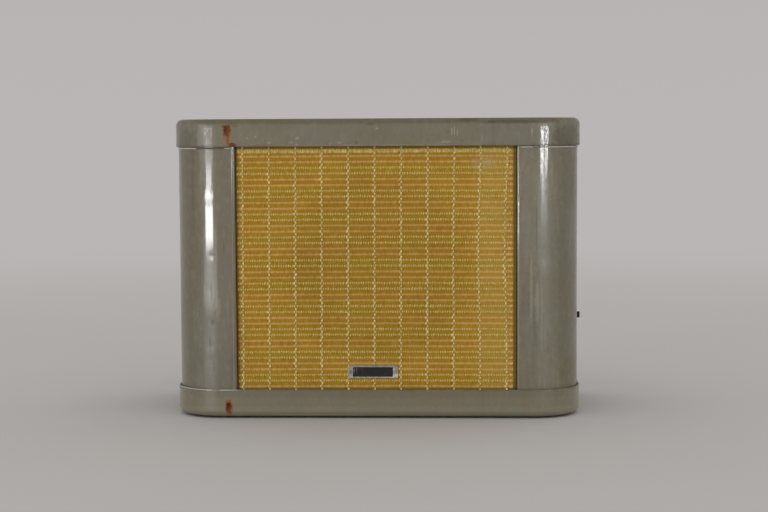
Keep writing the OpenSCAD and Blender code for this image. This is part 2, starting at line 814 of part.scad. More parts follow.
module speaker_basket() {
    wall_s = flange_s + basket_wall_l;
    in_r = ledge_out_r + window_in;
    out_r = flange_in_r - basket_taper - window_in;
    color("#7c7f78") at_speaker() difference() {
        rotate_extrude() basket_section();
        for (k = [0 : basket_arms - 1]) rotate([0, 0, (k + 1) * 360 / basket_arms
            - window_angle / 2]) rotate_extrude(angle = window_angle)
            polygon([[in_r, ledge_s - window_cut], [out_r, wall_s - window_cut],
                [out_r, wall_s + window_cut], [in_r, ledge_s + window_cut]]);
        at_bolts() translate([0, 0, flange_s - cut])
            cylinder(r = bolt_r + hole_gap, h = basket_t + 2 * cut);
    }
}

// Half ring of sheet about the origin, bulging towards +Y when up is 1 and -Y when it is -1
module half_ring(r, t, up) {
    intersection() {
        difference() {
            circle(r + t / 2);
            circle(r - t / 2);
        }
        translate([-r - t, up > 0 ? 0 : -r - t]) square([2 * (r + t), r + t]);
    }
}

module speaker_surround() {
    roll_r = roll_w / 2;
    roll_mid = (roll_out_r + cone_r) / 2;
    t = surround_t;
    color("#5b5044") at_speaker() rotate_extrude() {
        translate([roll_out_r - t / 2, gasket_t])
            square([surround_clear + surround_edge + t / 2, t]);
        translate([roll_mid, gasket_t + t]) half_ring(roll_r, t, 1);
        translate([cone_r - rim_w, gasket_t]) square([rim_w + t / 2, t]);
    }
}

module paper_cone() {
    rim_r = cone_r - rim_w;
    neck_r = former_r + seat_gap / 2;
    color("#4a463e") at_speaker() rotate_extrude() polygon([[cone_r - surround_t, flange_s],
        [cone_r - surround_t, flange_s + cone_t], [rim_r, flange_s + cone_t],
        [neck_r, neck_s + cone_t], [neck_r, neck_s], [rim_r, flange_s]]);
}

module dust_cap() {
    // Radius of the sphere that the cap is cut from
    dome_r = (cap_r * cap_r + cap_h * cap_h) / (2 * cap_h);
    rim_r = cone_r - rim_w;
    base_s = flange_s + cone_depth * (rim_r - cap_r) / (rim_r - former_r - seat_gap / 2);
    color("#3f3a33") at_speaker() translate([0, 0, base_s]) rotate_extrude() intersection() {
        translate([0, dome_r - cap_h]) difference() {
            circle(dome_r);
            circle(dome_r - cone_t);
        }
        translate([0, -cap_h - cut]) square([dome_r, cap_h + cut]);
    }
}

module voice_coil_former() {
    color("#b08a5a") at_speaker() translate([0, 0, neck_s - former_over])
        ring(former_r, coil_r, plate_s + pole_plate_t / 2 + coil_l / 2 - neck_s + 2 * former_over);
}

module voice_coil_winding() {
    color("#a4552c") at_speaker()
        translate([0, 0, plate_s + pole_plate_t / 2 - coil_l / 2])
            ring(former_r + thread_gap + coil_t, former_r + thread_gap, coil_l);
}

module speaker_spider() {
    t = spider_t;
    hub_r = former_r + seat_gap;
    wave_r = (ledge_in_r - hub_r - spider_lap) / (2 * spider_waves);
    color("#8a6a3c") at_speaker() rotate_extrude() translate([0, ledge_s - t / 2]) {
        translate([hub_r, -t / 2]) square([spider_lap + t / 2, t]);
        for (k = [0 : spider_waves - 1])
            translate([hub_r + spider_lap + (2 * k + 1) * wave_r, 0])
                half_ring(wave_r, t, k % 2 == 0 ? -1 : 1);
        translate([ledge_in_r - t / 2, -t / 2]) square([spider_edge + t / 2, t]);
    }
}

module front_pole_plate() {
    color("#8d8f8b") at_speaker() translate([0, 0, plate_s])
        ring(pole_plate_r, former_r + thread_gap + coil_t + coil_gap, pole_plate_t);
}

module ring_magnet() {
    color("#3b3c3e") at_speaker() translate([0, 0, magnet_s]) ring(magnet_r, magnet_in_r, magnet_h);
}

module back_pole_plate() {
    color("#8d8f8b") at_speaker() translate([0, 0, back_plate_s])
        cylinder(r = pole_plate_r, h = pole_plate_t);
}

module centre_pole() {
    color("#8d8f8b") at_speaker() translate([0, 0, plate_s])
        cylinder(r = coil_r - coil_gap, h = back_plate_s - plate_s);
}

module speaker_bolts() {
    shank = board_t + flange_s + basket_t + nut_h + bolt_tip;
    color("#9d9d93") at_speaker() at_bolts() translate([0, 0, -board_t]) difference() {
        union() {
            cylinder(r = bolt_r, h = shank);
            cylinder(r1 = bolt_head_r, r2 = bolt_r, h = bolt_head_h);
        }
        translate([-bolt_head_r - cut, -bolt_r / 4, -cut])
            cube([2 * bolt_head_r + 2 * cut, bolt_r / 2, bolt_head_h / 2 + cut]);
    }
}

// Hexagon nut standing on z = 0
module hex_nut(flats, h, bore_r) {
    difference() {
        cylinder(r = flats / 2 / cos(30), h = h, $fn = 6);
        translate([0, 0, -cut]) cylinder(r = bore_r, h = h + 2 * cut);
    }
}

module speaker_nuts() {
    color("#9d9d93") at_speaker() at_bolts() translate([0, 0, flange_s + basket_t])
        hex_nut(nut_af, nut_h, bolt_r + thread_gap);
}

// Puts its children under the speaker's ledge, with +X away from the axis and +Z to the rear
module at_tags() {
    at_speaker() rotate([0, 0, 90]) translate([0, 0, ledge_s + basket_t]) children();
}

module speaker_tag_strip() {
    color("#6b3f22") at_tags() translate([ledge_in_r + basket_t + seat_gap, -strip_l / 2, 0])
        cube([ledge_out_r - ledge_in_r - basket_t, strip_l, strip_t]);
}

module speaker_tags() {
    color("#b9a46a") at_tags() for (side = [-1, 1])
        translate([tag_in_r, side * tag_pitch / 2 - tag_w / 2, strip_t])
            cube([tag_l, tag_w, tag_t]);
}

module tinsel_leads() {
    // From a tag, in through the basket's window, to the back of the cone
    out_r = tag_in_r + tag_l - tag_w;
    in_r = tag_in_r;
    cone_s = flange_s + cone_t + cone_depth * (cone_r - rim_w - in_r) / (cone_r - rim_w - former_r);
    drop = ledge_s + basket_t - cone_s;
    color("#b07a4a") at_tags() for (side = [-1, 1]) translate([0, side * tag_pitch / 2, 0])
        lead([[out_r, 0, strip_t - solder_gap], [out_r, 0, -2], [out_r, 0, -6], [out_r - 5, 0, -9],
            [in_r + 3, 0, -7.5], [in_r, 0, 2 - drop], [in_r, 0, solder_gap - drop]], tinsel_r);
}

// Puts its children on the floor under the transformer
module at_core() {
    translate([core_x, core_y, floor_z]) children();
}

module transformer_core() {
    color("#4c4a47") at_core() translate([0, stack_t / 2, 0]) rotate([90, 0, 0])
        linear_extrude(stack_t) difference() {
            translate([-core_w / 2, 0]) square([core_w, core_h]);
            for (side = [-1, 1]) translate([side * (limb_w + window_w) / 2, core_h / 2])
                square([window_w, window_h], center = true);
        }
}

module transformer_bobbin() {
    inner_w = limb_w + 2 * core_gap;
    inner_d = stack_t + 2 * core_gap;
    full_w = limb_w + 2 * window_w - 2 * core_gap;
    full_d = stack_t + 2 * bobbin_out;
    full_h = window_h - 2 * core_gap;
    color("#c9b58a") at_core() translate([0, 0, yoke_w + core_gap]) difference() {
        union() {
            translate([-inner_w / 2 - bobbin_t, -inner_d / 2 - bobbin_t, 0])
                cube([inner_w + 2 * bobbin_t, inner_d + 2 * bobbin_t, full_h]);
            for (z = [0, full_h - bobbin_t]) translate([-full_w / 2, -full_d / 2, z])
                cube([full_w, full_d, bobbin_t]);
        }
        translate([-inner_w / 2, -inner_d / 2, -cut]) cube([inner_w, inner_d, full_h + 2 * cut]);
    }
}

module transformer_winding() {
    inner_w = limb_w + 2 * core_gap + 2 * bobbin_t;
    inner_d = stack_t + 2 * core_gap + 2 * bobbin_t;
    full_w = limb_w + 2 * window_w - 2 * core_gap - 2 * winding_short;
    full_d = stack_t + 2 * bobbin_out - 2 * winding_short;
    full_h = window_h - 2 * core_gap - 2 * bobbin_t;
    color("#7d5a2e") at_core() translate([0, 0, yoke_w + core_gap + bobbin_t]) difference() {
        translate([-full_w / 2, -full_d / 2, 0]) cube([full_w, full_d, full_h]);
        translate([-inner_w / 2, -inner_d / 2, -cut]) cube([inner_w, inner_d, full_h + 2 * cut]);
    }
}

module transformer_strap() {
    half_w = core_w / 2 + core_gap;
    top = core_h + core_gap;
    color("#8c8c84") at_core() translate([0, -stack_t / 2, 0]) difference() {
        union() {
            for (side = [0, 1]) mirror([side, 0, 0]) {
                translate([half_w, 0, 0]) cube([strap_t, stack_t, top + strap_t]);
                translate([half_w, 0, 0]) cube([strap_t + strap_foot, stack_t, strap_t]);
            }
            translate([-half_w - strap_t / 2, 0, top]) cube([2 * half_w + strap_t, stack_t, strap_t]);
        }
        for (side = [-1, 1]) translate([side * strap_screw_x, stack_t / 2, -cut])
            cylinder(r = floor_screw_r + hole_gap, h = strap_t + 2 * cut);
    }
}

// Places of the screws through the floor, each with the thickness that it holds down
function floor_screw_places() = concat(
    [for (side = [-1, 1]) [core_x + side * strap_screw_x, core_y, strap_t]],
    [for (p = clip_places) [p[0], p[1] + clip_r + clip_t + clip_foot / 2, clip_t]]);

module floor_screws() {
    color("#a7a79c") for (p = floor_screw_places()) translate([p[0], p[1], floor_z + p[2]])
        pan_screw(floor_screw_r, p[2] + tray_t + floor_screw_tip, floor_head_r, floor_head_h);
}

// Puts its children on the floor under the terminal block
module at_block() {
    translate([block_x, block_y, floor_z]) children();
}

function block_screw_places() =
    [for (side = [-1, 1]) [block_x, block_y + side * block_screw_pitch / 2]];

module terminal_block() {
    color("#3a2318") at_block() difference() {
        translate([-block_w / 2, -block_l / 2, 0]) cube([block_w, block_l, block_h]);
        for (side = [-1, 1]) {
            translate([0, side * pole_pitch / 2, insert_up]) {
                translate([-insert_w / 2 - seat_gap, -insert_l / 2 - seat_gap, 0])
                    cube([insert_w + 2 * seat_gap, insert_l + 2 * seat_gap, block_h]);
                translate([-block_w / 2 - cut, 0, wire_up - insert_up]) rotate([0, 90, 0])
                    cylinder(r = wire_hole_r, h = block_w + 2 * cut);
            }
            translate([0, side * block_screw_pitch / 2, -cut]) {
                cylinder(r = block_screw_r + hole_gap, h = block_h + 2 * cut);
                translate([0, 0, block_h / 2 + cut]) cylinder(r = block_head_r + hole_gap, h = block_h);
            }
        }
    }
}

module terminal_inserts() {
    color("#b9a46a") at_block() for (side = [-1, 1])
        translate([0, side * pole_pitch / 2, insert_up]) difference() {
            translate([-insert_w / 2, -insert_l / 2, 0]) cube([insert_w, insert_l, insert_h]);
            translate([-insert_w, 0, wire_up - insert_up]) rotate([0, 90, 0])
                cylinder(r = wire_hole_r, h = 2 * insert_w);
            for (x = [-1, 1]) translate([x * insert_w / 4, 0, insert_h / 2])
                cylinder(r = clamp_screw_r + thread_gap, h = insert_h);
        }
}

module terminal_screws() {
    color("#a7a79c") at_block() for (side = [-1, 1]) for (x = [-1, 1])
        translate([x * insert_w / 4, side * pole_pitch / 2, insert_up + insert_h + seat_gap])
            pan_screw(clamp_screw_r, insert_h / 2 - cut, clamp_head_r, clamp_head_h);
}

module terminal_block_screws() {
    color("#a7a79c") for (p = block_screw_places())
        translate([p[0], p[1], floor_z + block_h / 2])
            pan_screw(block_screw_r, block_h / 2 + tray_t + floor_screw_tip, block_head_r, block_head_h);
}

// Puts its children on the spindle's axis, with +Z out of the cabinet's right side
module at_volume() {
    translate([panel_x - panel_t, spindle_y, spindle_z]) rotate([0, 90, 0]) children();
}

module volume_case() {
    color("#9a9c98") at_volume() difference() {
        translate([0, 0, -case_depth]) cylinder(r = case_r, h = case_depth);
        translate([0, 0, case_t - case_depth]) cylinder(r = case_r - case_t, h = case_depth - case_t - face_t);
        translate([0, 0, -face_t - cut]) cylinder(r = bush_r + thread_gap, h = face_t + 2 * cut);
        translate([0, -case_r * sin(2 * lug_angle), wafer_s - lug_t - seat_gap])
            cube([case_r + cut, 2 * case_r * sin(2 * lug_angle), lug_t + 2 * seat_gap]);
    }
}

module volume_bush() {
    color("#b9b088") at_volume() difference() {
        union() {
            translate([0, 0, -face_t]) cylinder(r = bush_r, h = face_t + panel_t + bush_out);
            translate([0, 0, -face_t - shoulder_t]) cylinder(r = shoulder_r, h = shoulder_t);
        }
        translate([0, 0, -face_t - shoulder_t - cut])
            cylinder(r = spindle_r + spindle_fit, h = face_t + shoulder_t + panel_t + bush_out + 2 * cut);
    }
}

module volume_washer() {
    color("#a9aaa5") at_volume() translate([0, 0, panel_t])
        ring(washer_r, bush_r + hole_gap, washer_t);
}

module volume_nut() {
    color("#a9aaa5") at_volume() translate([0, 0, panel_t + washer_t])
        hex_nut(nut_flats, nut_t, bush_r + thread_gap);
}

module volume_spindle() {
    inner_end = wafer_s - lug_t;
    collar_s = -face_t - shoulder_t - seat_gap - collar_t;
    top = panel_t + spindle_out;
    color("#55534e") at_volume() difference() {
        union() {
            translate([0, 0, inner_end]) cylinder(r = spindle_r, h = top - inner_end);
            translate([0, 0, collar_s]) cylinder(r = collar_r, h = collar_t);
        }
        translate([0, 0, panel_t + bush_out])
            ring(spindle_r + cut, spindle_r - groove_depth, groove_w);
        translate([-spindle_r - cut, -driver_slot_w / 2, top - driver_slot_h])
            cube([2 * spindle_r + 2 * cut, driver_slot_w, driver_slot_h + cut]);
    }
}

module volume_wiper() {
    arm_s = wafer_s + wafer_t + track_t + wiper_up;
    hub_r = 5;
    tip_r = (track_in_r + track_out_r) / 2;
    color("#b9a46a") at_volume() difference() {
        union() {
            translate([0, 0, arm_s]) cylinder(r = hub_r, h = wiper_t);
            translate([0, -wiper_t * 2, arm_s]) mirror([1, 0, 0]) cube([tip_r + 1, wiper_t * 4, wiper_t]);
            translate([-tip_r, 0, arm_s - wiper_up + wiper_gap])
                cylinder(r = wiper_tip_r, h = wiper_up);
        }
        translate([0, 0, arm_s - cut]) cylinder(r = spindle_r + thread_gap, h = wiper_t + 2 * cut);
    }
}

module volume_track() {
    color("#4b3a2a") at_volume() translate([0, 0, wafer_s + wafer_t])
        rotate([0, 0, (360 - track_angle) / 2]) rotate_extrude(angle = track_angle)
            translate([track_in_r, 0]) square([track_out_r - track_in_r, track_t]);
}

module volume_wafer() {
    color("#6b3f22") at_volume() translate([0, 0, wafer_s])
        ring(case_r - case_t - seat_gap, spindle_r + hole_gap, wafer_t);
}

module volume_tags() {
    color("#b9a46a") at_volume() for (k = [-1 : 1]) rotate([0, 0, k * lug_angle])
        translate([case_r - case_t - lug_root, -lug_w / 2, wafer_s - lug_t])
            cube([lug_root + case_t + lug_out, lug_w, lug_t]);
}

module line_leads() {
    color("#7a2f26") for (route = line_routes) lead(route, lead_r);
}

module volume_leads() {
    color("#b7a27a") for (route = volume_routes) lead(route, lead_r);
}

module speaker_leads() {
    color("#3c4a3a") for (route = speaker_routes) lead(route, lead_r);
}

module lead_clips() {
    color("#8c8c84") for (p = clip_places)
        translate([p[0] - clip_w / 2, p[1], floor_z]) difference() {
            union() {
                rotate([90, 0, 90]) linear_extrude(clip_w) half_ring(clip_r + clip_t / 2, clip_t, 1);
                translate([0, clip_r, 0]) cube([clip_w, clip_t + clip_foot, clip_t]);
            }
            translate([clip_w / 2, clip_r + clip_t + clip_foot / 2, -cut])
                cylinder(r = floor_screw_r + hole_gap, h = clip_t + 2 * cut);
        }
}

top_tray();
bottom_tray();
left_side_panel();
right_side_panel();
baffle_board();
grille_cloth();
nameplate();
nameplate_pins();
baffle_brackets();
bracket_screws();
rear_cover();
rear_cover_screws();
cable_grommet();
felt_feet();
speaker_gasket();
speaker_basket();
speaker_surround();
paper_cone();
dust_cap();
voice_coil_former();
voice_coil_winding();
speaker_spider();
front_pole_plate();
ring_magnet();
back_pole_plate();
centre_pole();
speaker_bolts();
speaker_nuts();
speaker_tag_strip();
speaker_tags();
tinsel_leads();
transformer_core();
transformer_bobbin();
transformer_winding();
transformer_strap();
floor_screws();
terminal_block();
terminal_inserts();
terminal_screws();
terminal_block_screws();
volume_case();
volume_bush();
volume_washer();
volume_nut();
volume_spindle();
volume_wiper();
volume_track();
volume_wafer();
volume_tags();
line_leads();
volume_leads();
speaker_leads();
lead_clips();
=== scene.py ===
import math
import random
import bmesh
import bpy
from mathutils import Matrix, Vector, noise


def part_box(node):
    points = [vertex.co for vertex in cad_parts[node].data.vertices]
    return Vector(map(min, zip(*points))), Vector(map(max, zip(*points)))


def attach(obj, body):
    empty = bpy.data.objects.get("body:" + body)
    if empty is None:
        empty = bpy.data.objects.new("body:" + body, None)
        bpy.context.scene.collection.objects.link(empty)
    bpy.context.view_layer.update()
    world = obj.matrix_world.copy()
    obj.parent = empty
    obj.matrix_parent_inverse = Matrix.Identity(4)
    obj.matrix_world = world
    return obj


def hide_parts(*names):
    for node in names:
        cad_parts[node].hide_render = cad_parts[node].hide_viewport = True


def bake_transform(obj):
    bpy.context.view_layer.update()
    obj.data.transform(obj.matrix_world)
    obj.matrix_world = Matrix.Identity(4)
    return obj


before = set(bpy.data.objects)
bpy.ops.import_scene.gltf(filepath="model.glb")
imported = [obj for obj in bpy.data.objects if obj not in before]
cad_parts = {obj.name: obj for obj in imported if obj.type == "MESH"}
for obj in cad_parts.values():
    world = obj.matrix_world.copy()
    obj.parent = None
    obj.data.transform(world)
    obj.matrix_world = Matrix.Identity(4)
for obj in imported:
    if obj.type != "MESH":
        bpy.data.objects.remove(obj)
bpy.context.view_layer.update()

scene = bpy.context.scene
scene.view_settings.view_transform = "Standard"
mm = 0.001

# camera, lights and floor
studio = {
    "cameraPlace": (0.0721, -1.685, 0.2688),
    "yaw": -2.31, "pitch": 4.19, "roll": -0.31,     # degrees, pitch is downwards
    "lens": 81.7,
    "backdrop": "#b9b6b5", "ceiling": "#5d5b5a", "floor": "#b4b1ae", "floorPale": "#b8b5b2",
    "ambient": 1.06, "overhead": 0.85, "skyTo": 0.7, "fillTo": 0.9,     # gradients end here, 1 is straight up
    "floorFade": (0.7, 2.4),                        # metres from the middle
    "floorRings": (300, 700, 1200, 1800, 2500, 9000),     # millimetres
}


def colour(text):
    parts = [int(text[i:i + 2], 16) / 255 for i in (1, 3, 5)]
    return tuple(c / 12.92 if c < 0.04045 else ((c + 0.055) / 1.055) ** 2.4 for c in parts) + (1.0,)


def addNode(tree, kind, inputs=None, **settings):
    node = tree.nodes.new(kind)
    for key, value in settings.items():
        setattr(node, key, value)
    for key, value in (inputs or {}).items():
        plug(tree, node.inputs[key], value)
    return node


def plug(tree, socket, value):                               # a link, a colour written as text, or a plain value
    if isinstance(value, bpy.types.NodeSocket):
        tree.links.new(value, socket)
    else:
        socket.default_value = colour(value) if isinstance(value, str) else value


def calc(tree, operation, *values):
    node = addNode(tree, "ShaderNodeMath", operation=operation)
    for i, value in enumerate(values):
        plug(tree, node.inputs[i], value)
    return node.outputs[0]


def vectorCalc(tree, operation, *values):
    node = addNode(tree, "ShaderNodeVectorMath", operation=operation)
    for i, value in enumerate(values):
        plug(tree, node.inputs[i], value)
    return node.outputs["Value" if operation == "LENGTH" else "Vector"]


def mix(tree, factor, a, b):
    return addNode(tree, "ShaderNodeMix", {0: factor, 6: a, 7: b}, data_type="RGBA").outputs[2]


def layered(tree, base, look, layers):                       # thin coats of a look's colours, each through its mask
    for mask, tone in layers:
        base = mix(tree, mask, base, look.get(tone, tone))
    return base


def axesOf(tree, vector):
    return addNode(tree, "ShaderNodeSeparateXYZ", {"Vector": vector}).outputs


def joined(tree, **axes):
    return addNode(tree, "ShaderNodeCombineXYZ", axes).outputs[0]


def rise(tree, value, low, high, toLow=0.0, toHigh=1.0):
    node = addNode(tree, "ShaderNodeMapRange", {"Value": value, "From Min": low, "From Max": high,
                                                "To Min": toLow, "To Max": toHigh},
                   interpolation_type="SMOOTHSTEP")
    return node.outputs["Result"]


def noiseValue(tree, vector, scale, detail=3.0, roughness=0.55):
    return addNode(tree, "ShaderNodeTexNoise", {"Vector": vector, "Scale": scale, "Detail": detail,
                                                "Roughness": roughness}).outputs["Fac"]


def stretched(tree, vector, scale, turn=(0, 0, 0)):
    return addNode(tree, "ShaderNodeMapping", {"Vector": vector, "Scale": scale, "Rotation": turn}
                   ).outputs["Vector"]


def newTree(kind, name, inputs, outputs):                    # an input is a socket kind, or a kind and its value
    tree = bpy.data.node_groups.new(name, kind)
    for label, socket in inputs.items():
        socketKind, *value = socket if isinstance(socket, tuple) else (socket,)
        made = tree.interface.new_socket(name=label, in_out="INPUT", socket_type="NodeSocket" + socketKind)
        if value:
            made.default_value = value[0]
    for label, socketKind in outputs.items():
        tree.interface.new_socket(name=label, in_out="OUTPUT", socket_type="NodeSocket" + socketKind)
    return tree, tree.nodes.new("NodeGroupInput").outputs, tree.nodes.new("NodeGroupOutput").inputs


def useGroup(tree, group, **inputs):
    node = addNode(tree, "ShaderNodeGroup", node_tree=group)
    for key, value in inputs.items():
        plug(tree, node.inputs[key], value)
    return node.outputs


# the shader effects that several finishes share
def makePatina():
    tree, get, put = newTree("ShaderNodeTree", "patina", {"Place": "Vector", "Scale": ("Float", 20.0)},
                             {"Clouds": "Float", "Specks": "Float", "Grain": "Float"})
    big = noiseValue(tree, get["Place"], get["Scale"], 4)
    fine = noiseValue(tree, get["Place"], calc(tree, "MULTIPLY", get["Scale"], 9.0), 3)
    grain = noiseValue(tree, get["Place"], calc(tree, "MULTIPLY", get["Scale"], 40.0), 2)
    plug(tree, put["Clouds"], rise(tree, big, 0.32, 0.68))
    plug(tree, put["Specks"], rise(tree, fine, 0.62, 0.74))
    plug(tree, put["Grain"], grain)
    return tree


def makeScratches():
    tree, get, put = newTree("ShaderNodeTree", "scratches", {"Place": "Vector", "Scale": ("Float", 30.0),
                                                             "Amount": ("Float", 0.5)}, {"Mask": "Float"})
    total = None
    for turn, stretch in (((0.15, 0.3, 0.1), (1.0, 1.0, 0.05)), ((0.5, -0.5, 0.9), (1.0, 0.04, 1.0)),
                          ((-0.3, 1.1, 0.2), (0.045, 1.0, 1.0))):
        field = noiseValue(tree, stretched(tree, get["Place"], stretch, turn), get["Scale"], 1, 0.3)
        line = calc(tree, "ABSOLUTE", calc(tree, "SUBTRACT", field, 0.5))
        thin = rise(tree, line, 0.0022, 0.0006)
        total = thin if total is None else calc(tree, "MAXIMUM", total, thin)
    patches = rise(tree, noiseValue(tree, get["Place"], calc(tree, "MULTIPLY", get["Scale"], 0.7), 2),
                   0.5, 0.66)
    plug(tree, put["Mask"], calc(tree, "MULTIPLY", calc(tree, "MULTIPLY", total, patches), get["Amount"]))
    return tree


def makeSpot():
    tree, get, put = newTree("ShaderNodeTree", "spot", {"Place": "Vector", "Centre": "Vector", "Size": "Vector",
                                                        "Ragged": ("Float", 0.6)}, {"Mask": "Float"})
    away = vectorCalc(tree, "DIVIDE", vectorCalc(tree, "SUBTRACT", get["Place"], get["Centre"]), get["Size"])
    ripple = calc(tree, "SUBTRACT", noiseValue(tree, get["Place"], 420.0, 3, 0.6), 0.5)
    ragged = calc(tree, "MULTIPLY", ripple, get["Ragged"])
    reach = calc(tree, "ADD", vectorCalc(tree, "LENGTH", away), calc(tree, "MULTIPLY", ragged, 3.0))
    plug(tree, put["Mask"], rise(tree, reach, 1.15, 0.6))
    return tree


patina, scratches, spot = makePatina(), makeScratches(), makeSpot()


def newMaterial(name, **fixed):
    material = bpy.data.materials.new(name)
    material.use_nodes = True
    tree = material.node_tree
    shader = tree.nodes["Principled BSDF"]
    for key, value in fixed.items():
        shader.inputs[key.replace("_", " ")].default_value = value
    return material, tree, shader, addNode(tree, "ShaderNodeTexCoord").outputs


def surface(tree, shader, base, roughness, height, depth, strength=1.0):     # depth of the relief in millimetres
    plug(tree, shader.inputs["Base Color"], base)
    plug(tree, shader.inputs["Roughness"], roughness)
    bump = addNode(tree, "ShaderNodeBump", {"Height": height, "Distance": depth * mm, "Strength": strength})
    plug(tree, shader.inputs["Normal"], bump.outputs["Normal"])


# finishes that differ only in numbers: base, tint, metal, roughness, its spread, pattern scale, grain depth in mm
finishes = {
    "zincSteel": ("#a3a297", "#7d7a6e", 1.0, 0.36, 0.16, 60, 0.08),
    "darkSteel": ("#4a4640", "#2c2824", 1.0, 0.42, 0.2, 90, 0.12),
    "basketLacquer": ("#7d8078", "#666860", 0.0, 0.38, 0.12, 40, 0.12),
    "poleSteel": ("#9b9c97", "#77756b", 1.0, 0.3, 0.18, 50, 0.06),
    "ferriteGrey": ("#3b3b3e", "#2c2c2f", 0.0, 0.62, 0.15, 120, 0.2),
    "oldBrass": ("#b39a58", "#6f5a2c", 1.0, 0.34, 0.2, 80, 0.08),
    "brownPhenolic": ("#5a301c", "#3a1d10", 0.0, 0.36, 0.14, 70, 0.12),
    "blackRubber": ("#26241f", "#37342c", 0.0, 0.7, 0.12, 110, 0.24),
    "trackCarbon": ("#2e2925", "#201c19", 0.0, 0.5, 0.1, 150, 0.08),
    "feltGrey": ("#3a352f", "#26221e", 0.0, 0.95, 0.04, 160, 0.8),
    "wiperBrass": ("#bda566", "#7c6632", 1.0, 0.3, 0.16, 110, 0.04),
}


def plainFinish(name):
    base, tint, metal, rough, spread, scale, grain = finishes[name]
    material, tree, shader, place = newMaterial(name, Metallic=metal)
    wear = useGroup(tree, patina, Place=place["Object"], Scale=float(scale))
    clouded = mix(tree, wear["Clouds"], base, tint)
    surface(tree, shader, mix(tree, calc(tree, "MULTIPLY", wear["Specks"], 0.5), clouded, tint),
            calc(tree, "MULTIPLY_ADD", wear["Clouds"], spread, rough), wear["Grain"], grain)
    return material


# aged enamel of the cabinet: its colours, gloss, where it is streaked, and the painted highlight along the bends
enamelLook = {
    # the palest tone, last on the next line, paints highlights on bends, lips and beads
    "base": "#6c654f", "cool": "#686655", "warm": "#6b6145", "grime": "#433b26", "bare": "#a49d86", "wearAndHighlight": "#d5d8d4",
    "rust": "#753a18", "rustPale": "#9b6836", "rustDark": "#47220e", "rustOrange": "#8f4b14",
    "roughness": 0.34, "coat": 0.9, "coatRoughness": 0.07, "relief": 0.12,
    "wallTop": (0.2779, 0.2768), "seamReach": 3.2, "bendHighlightReach": (0.72, 0.4), "bendHighlightFade": 0.045,
}
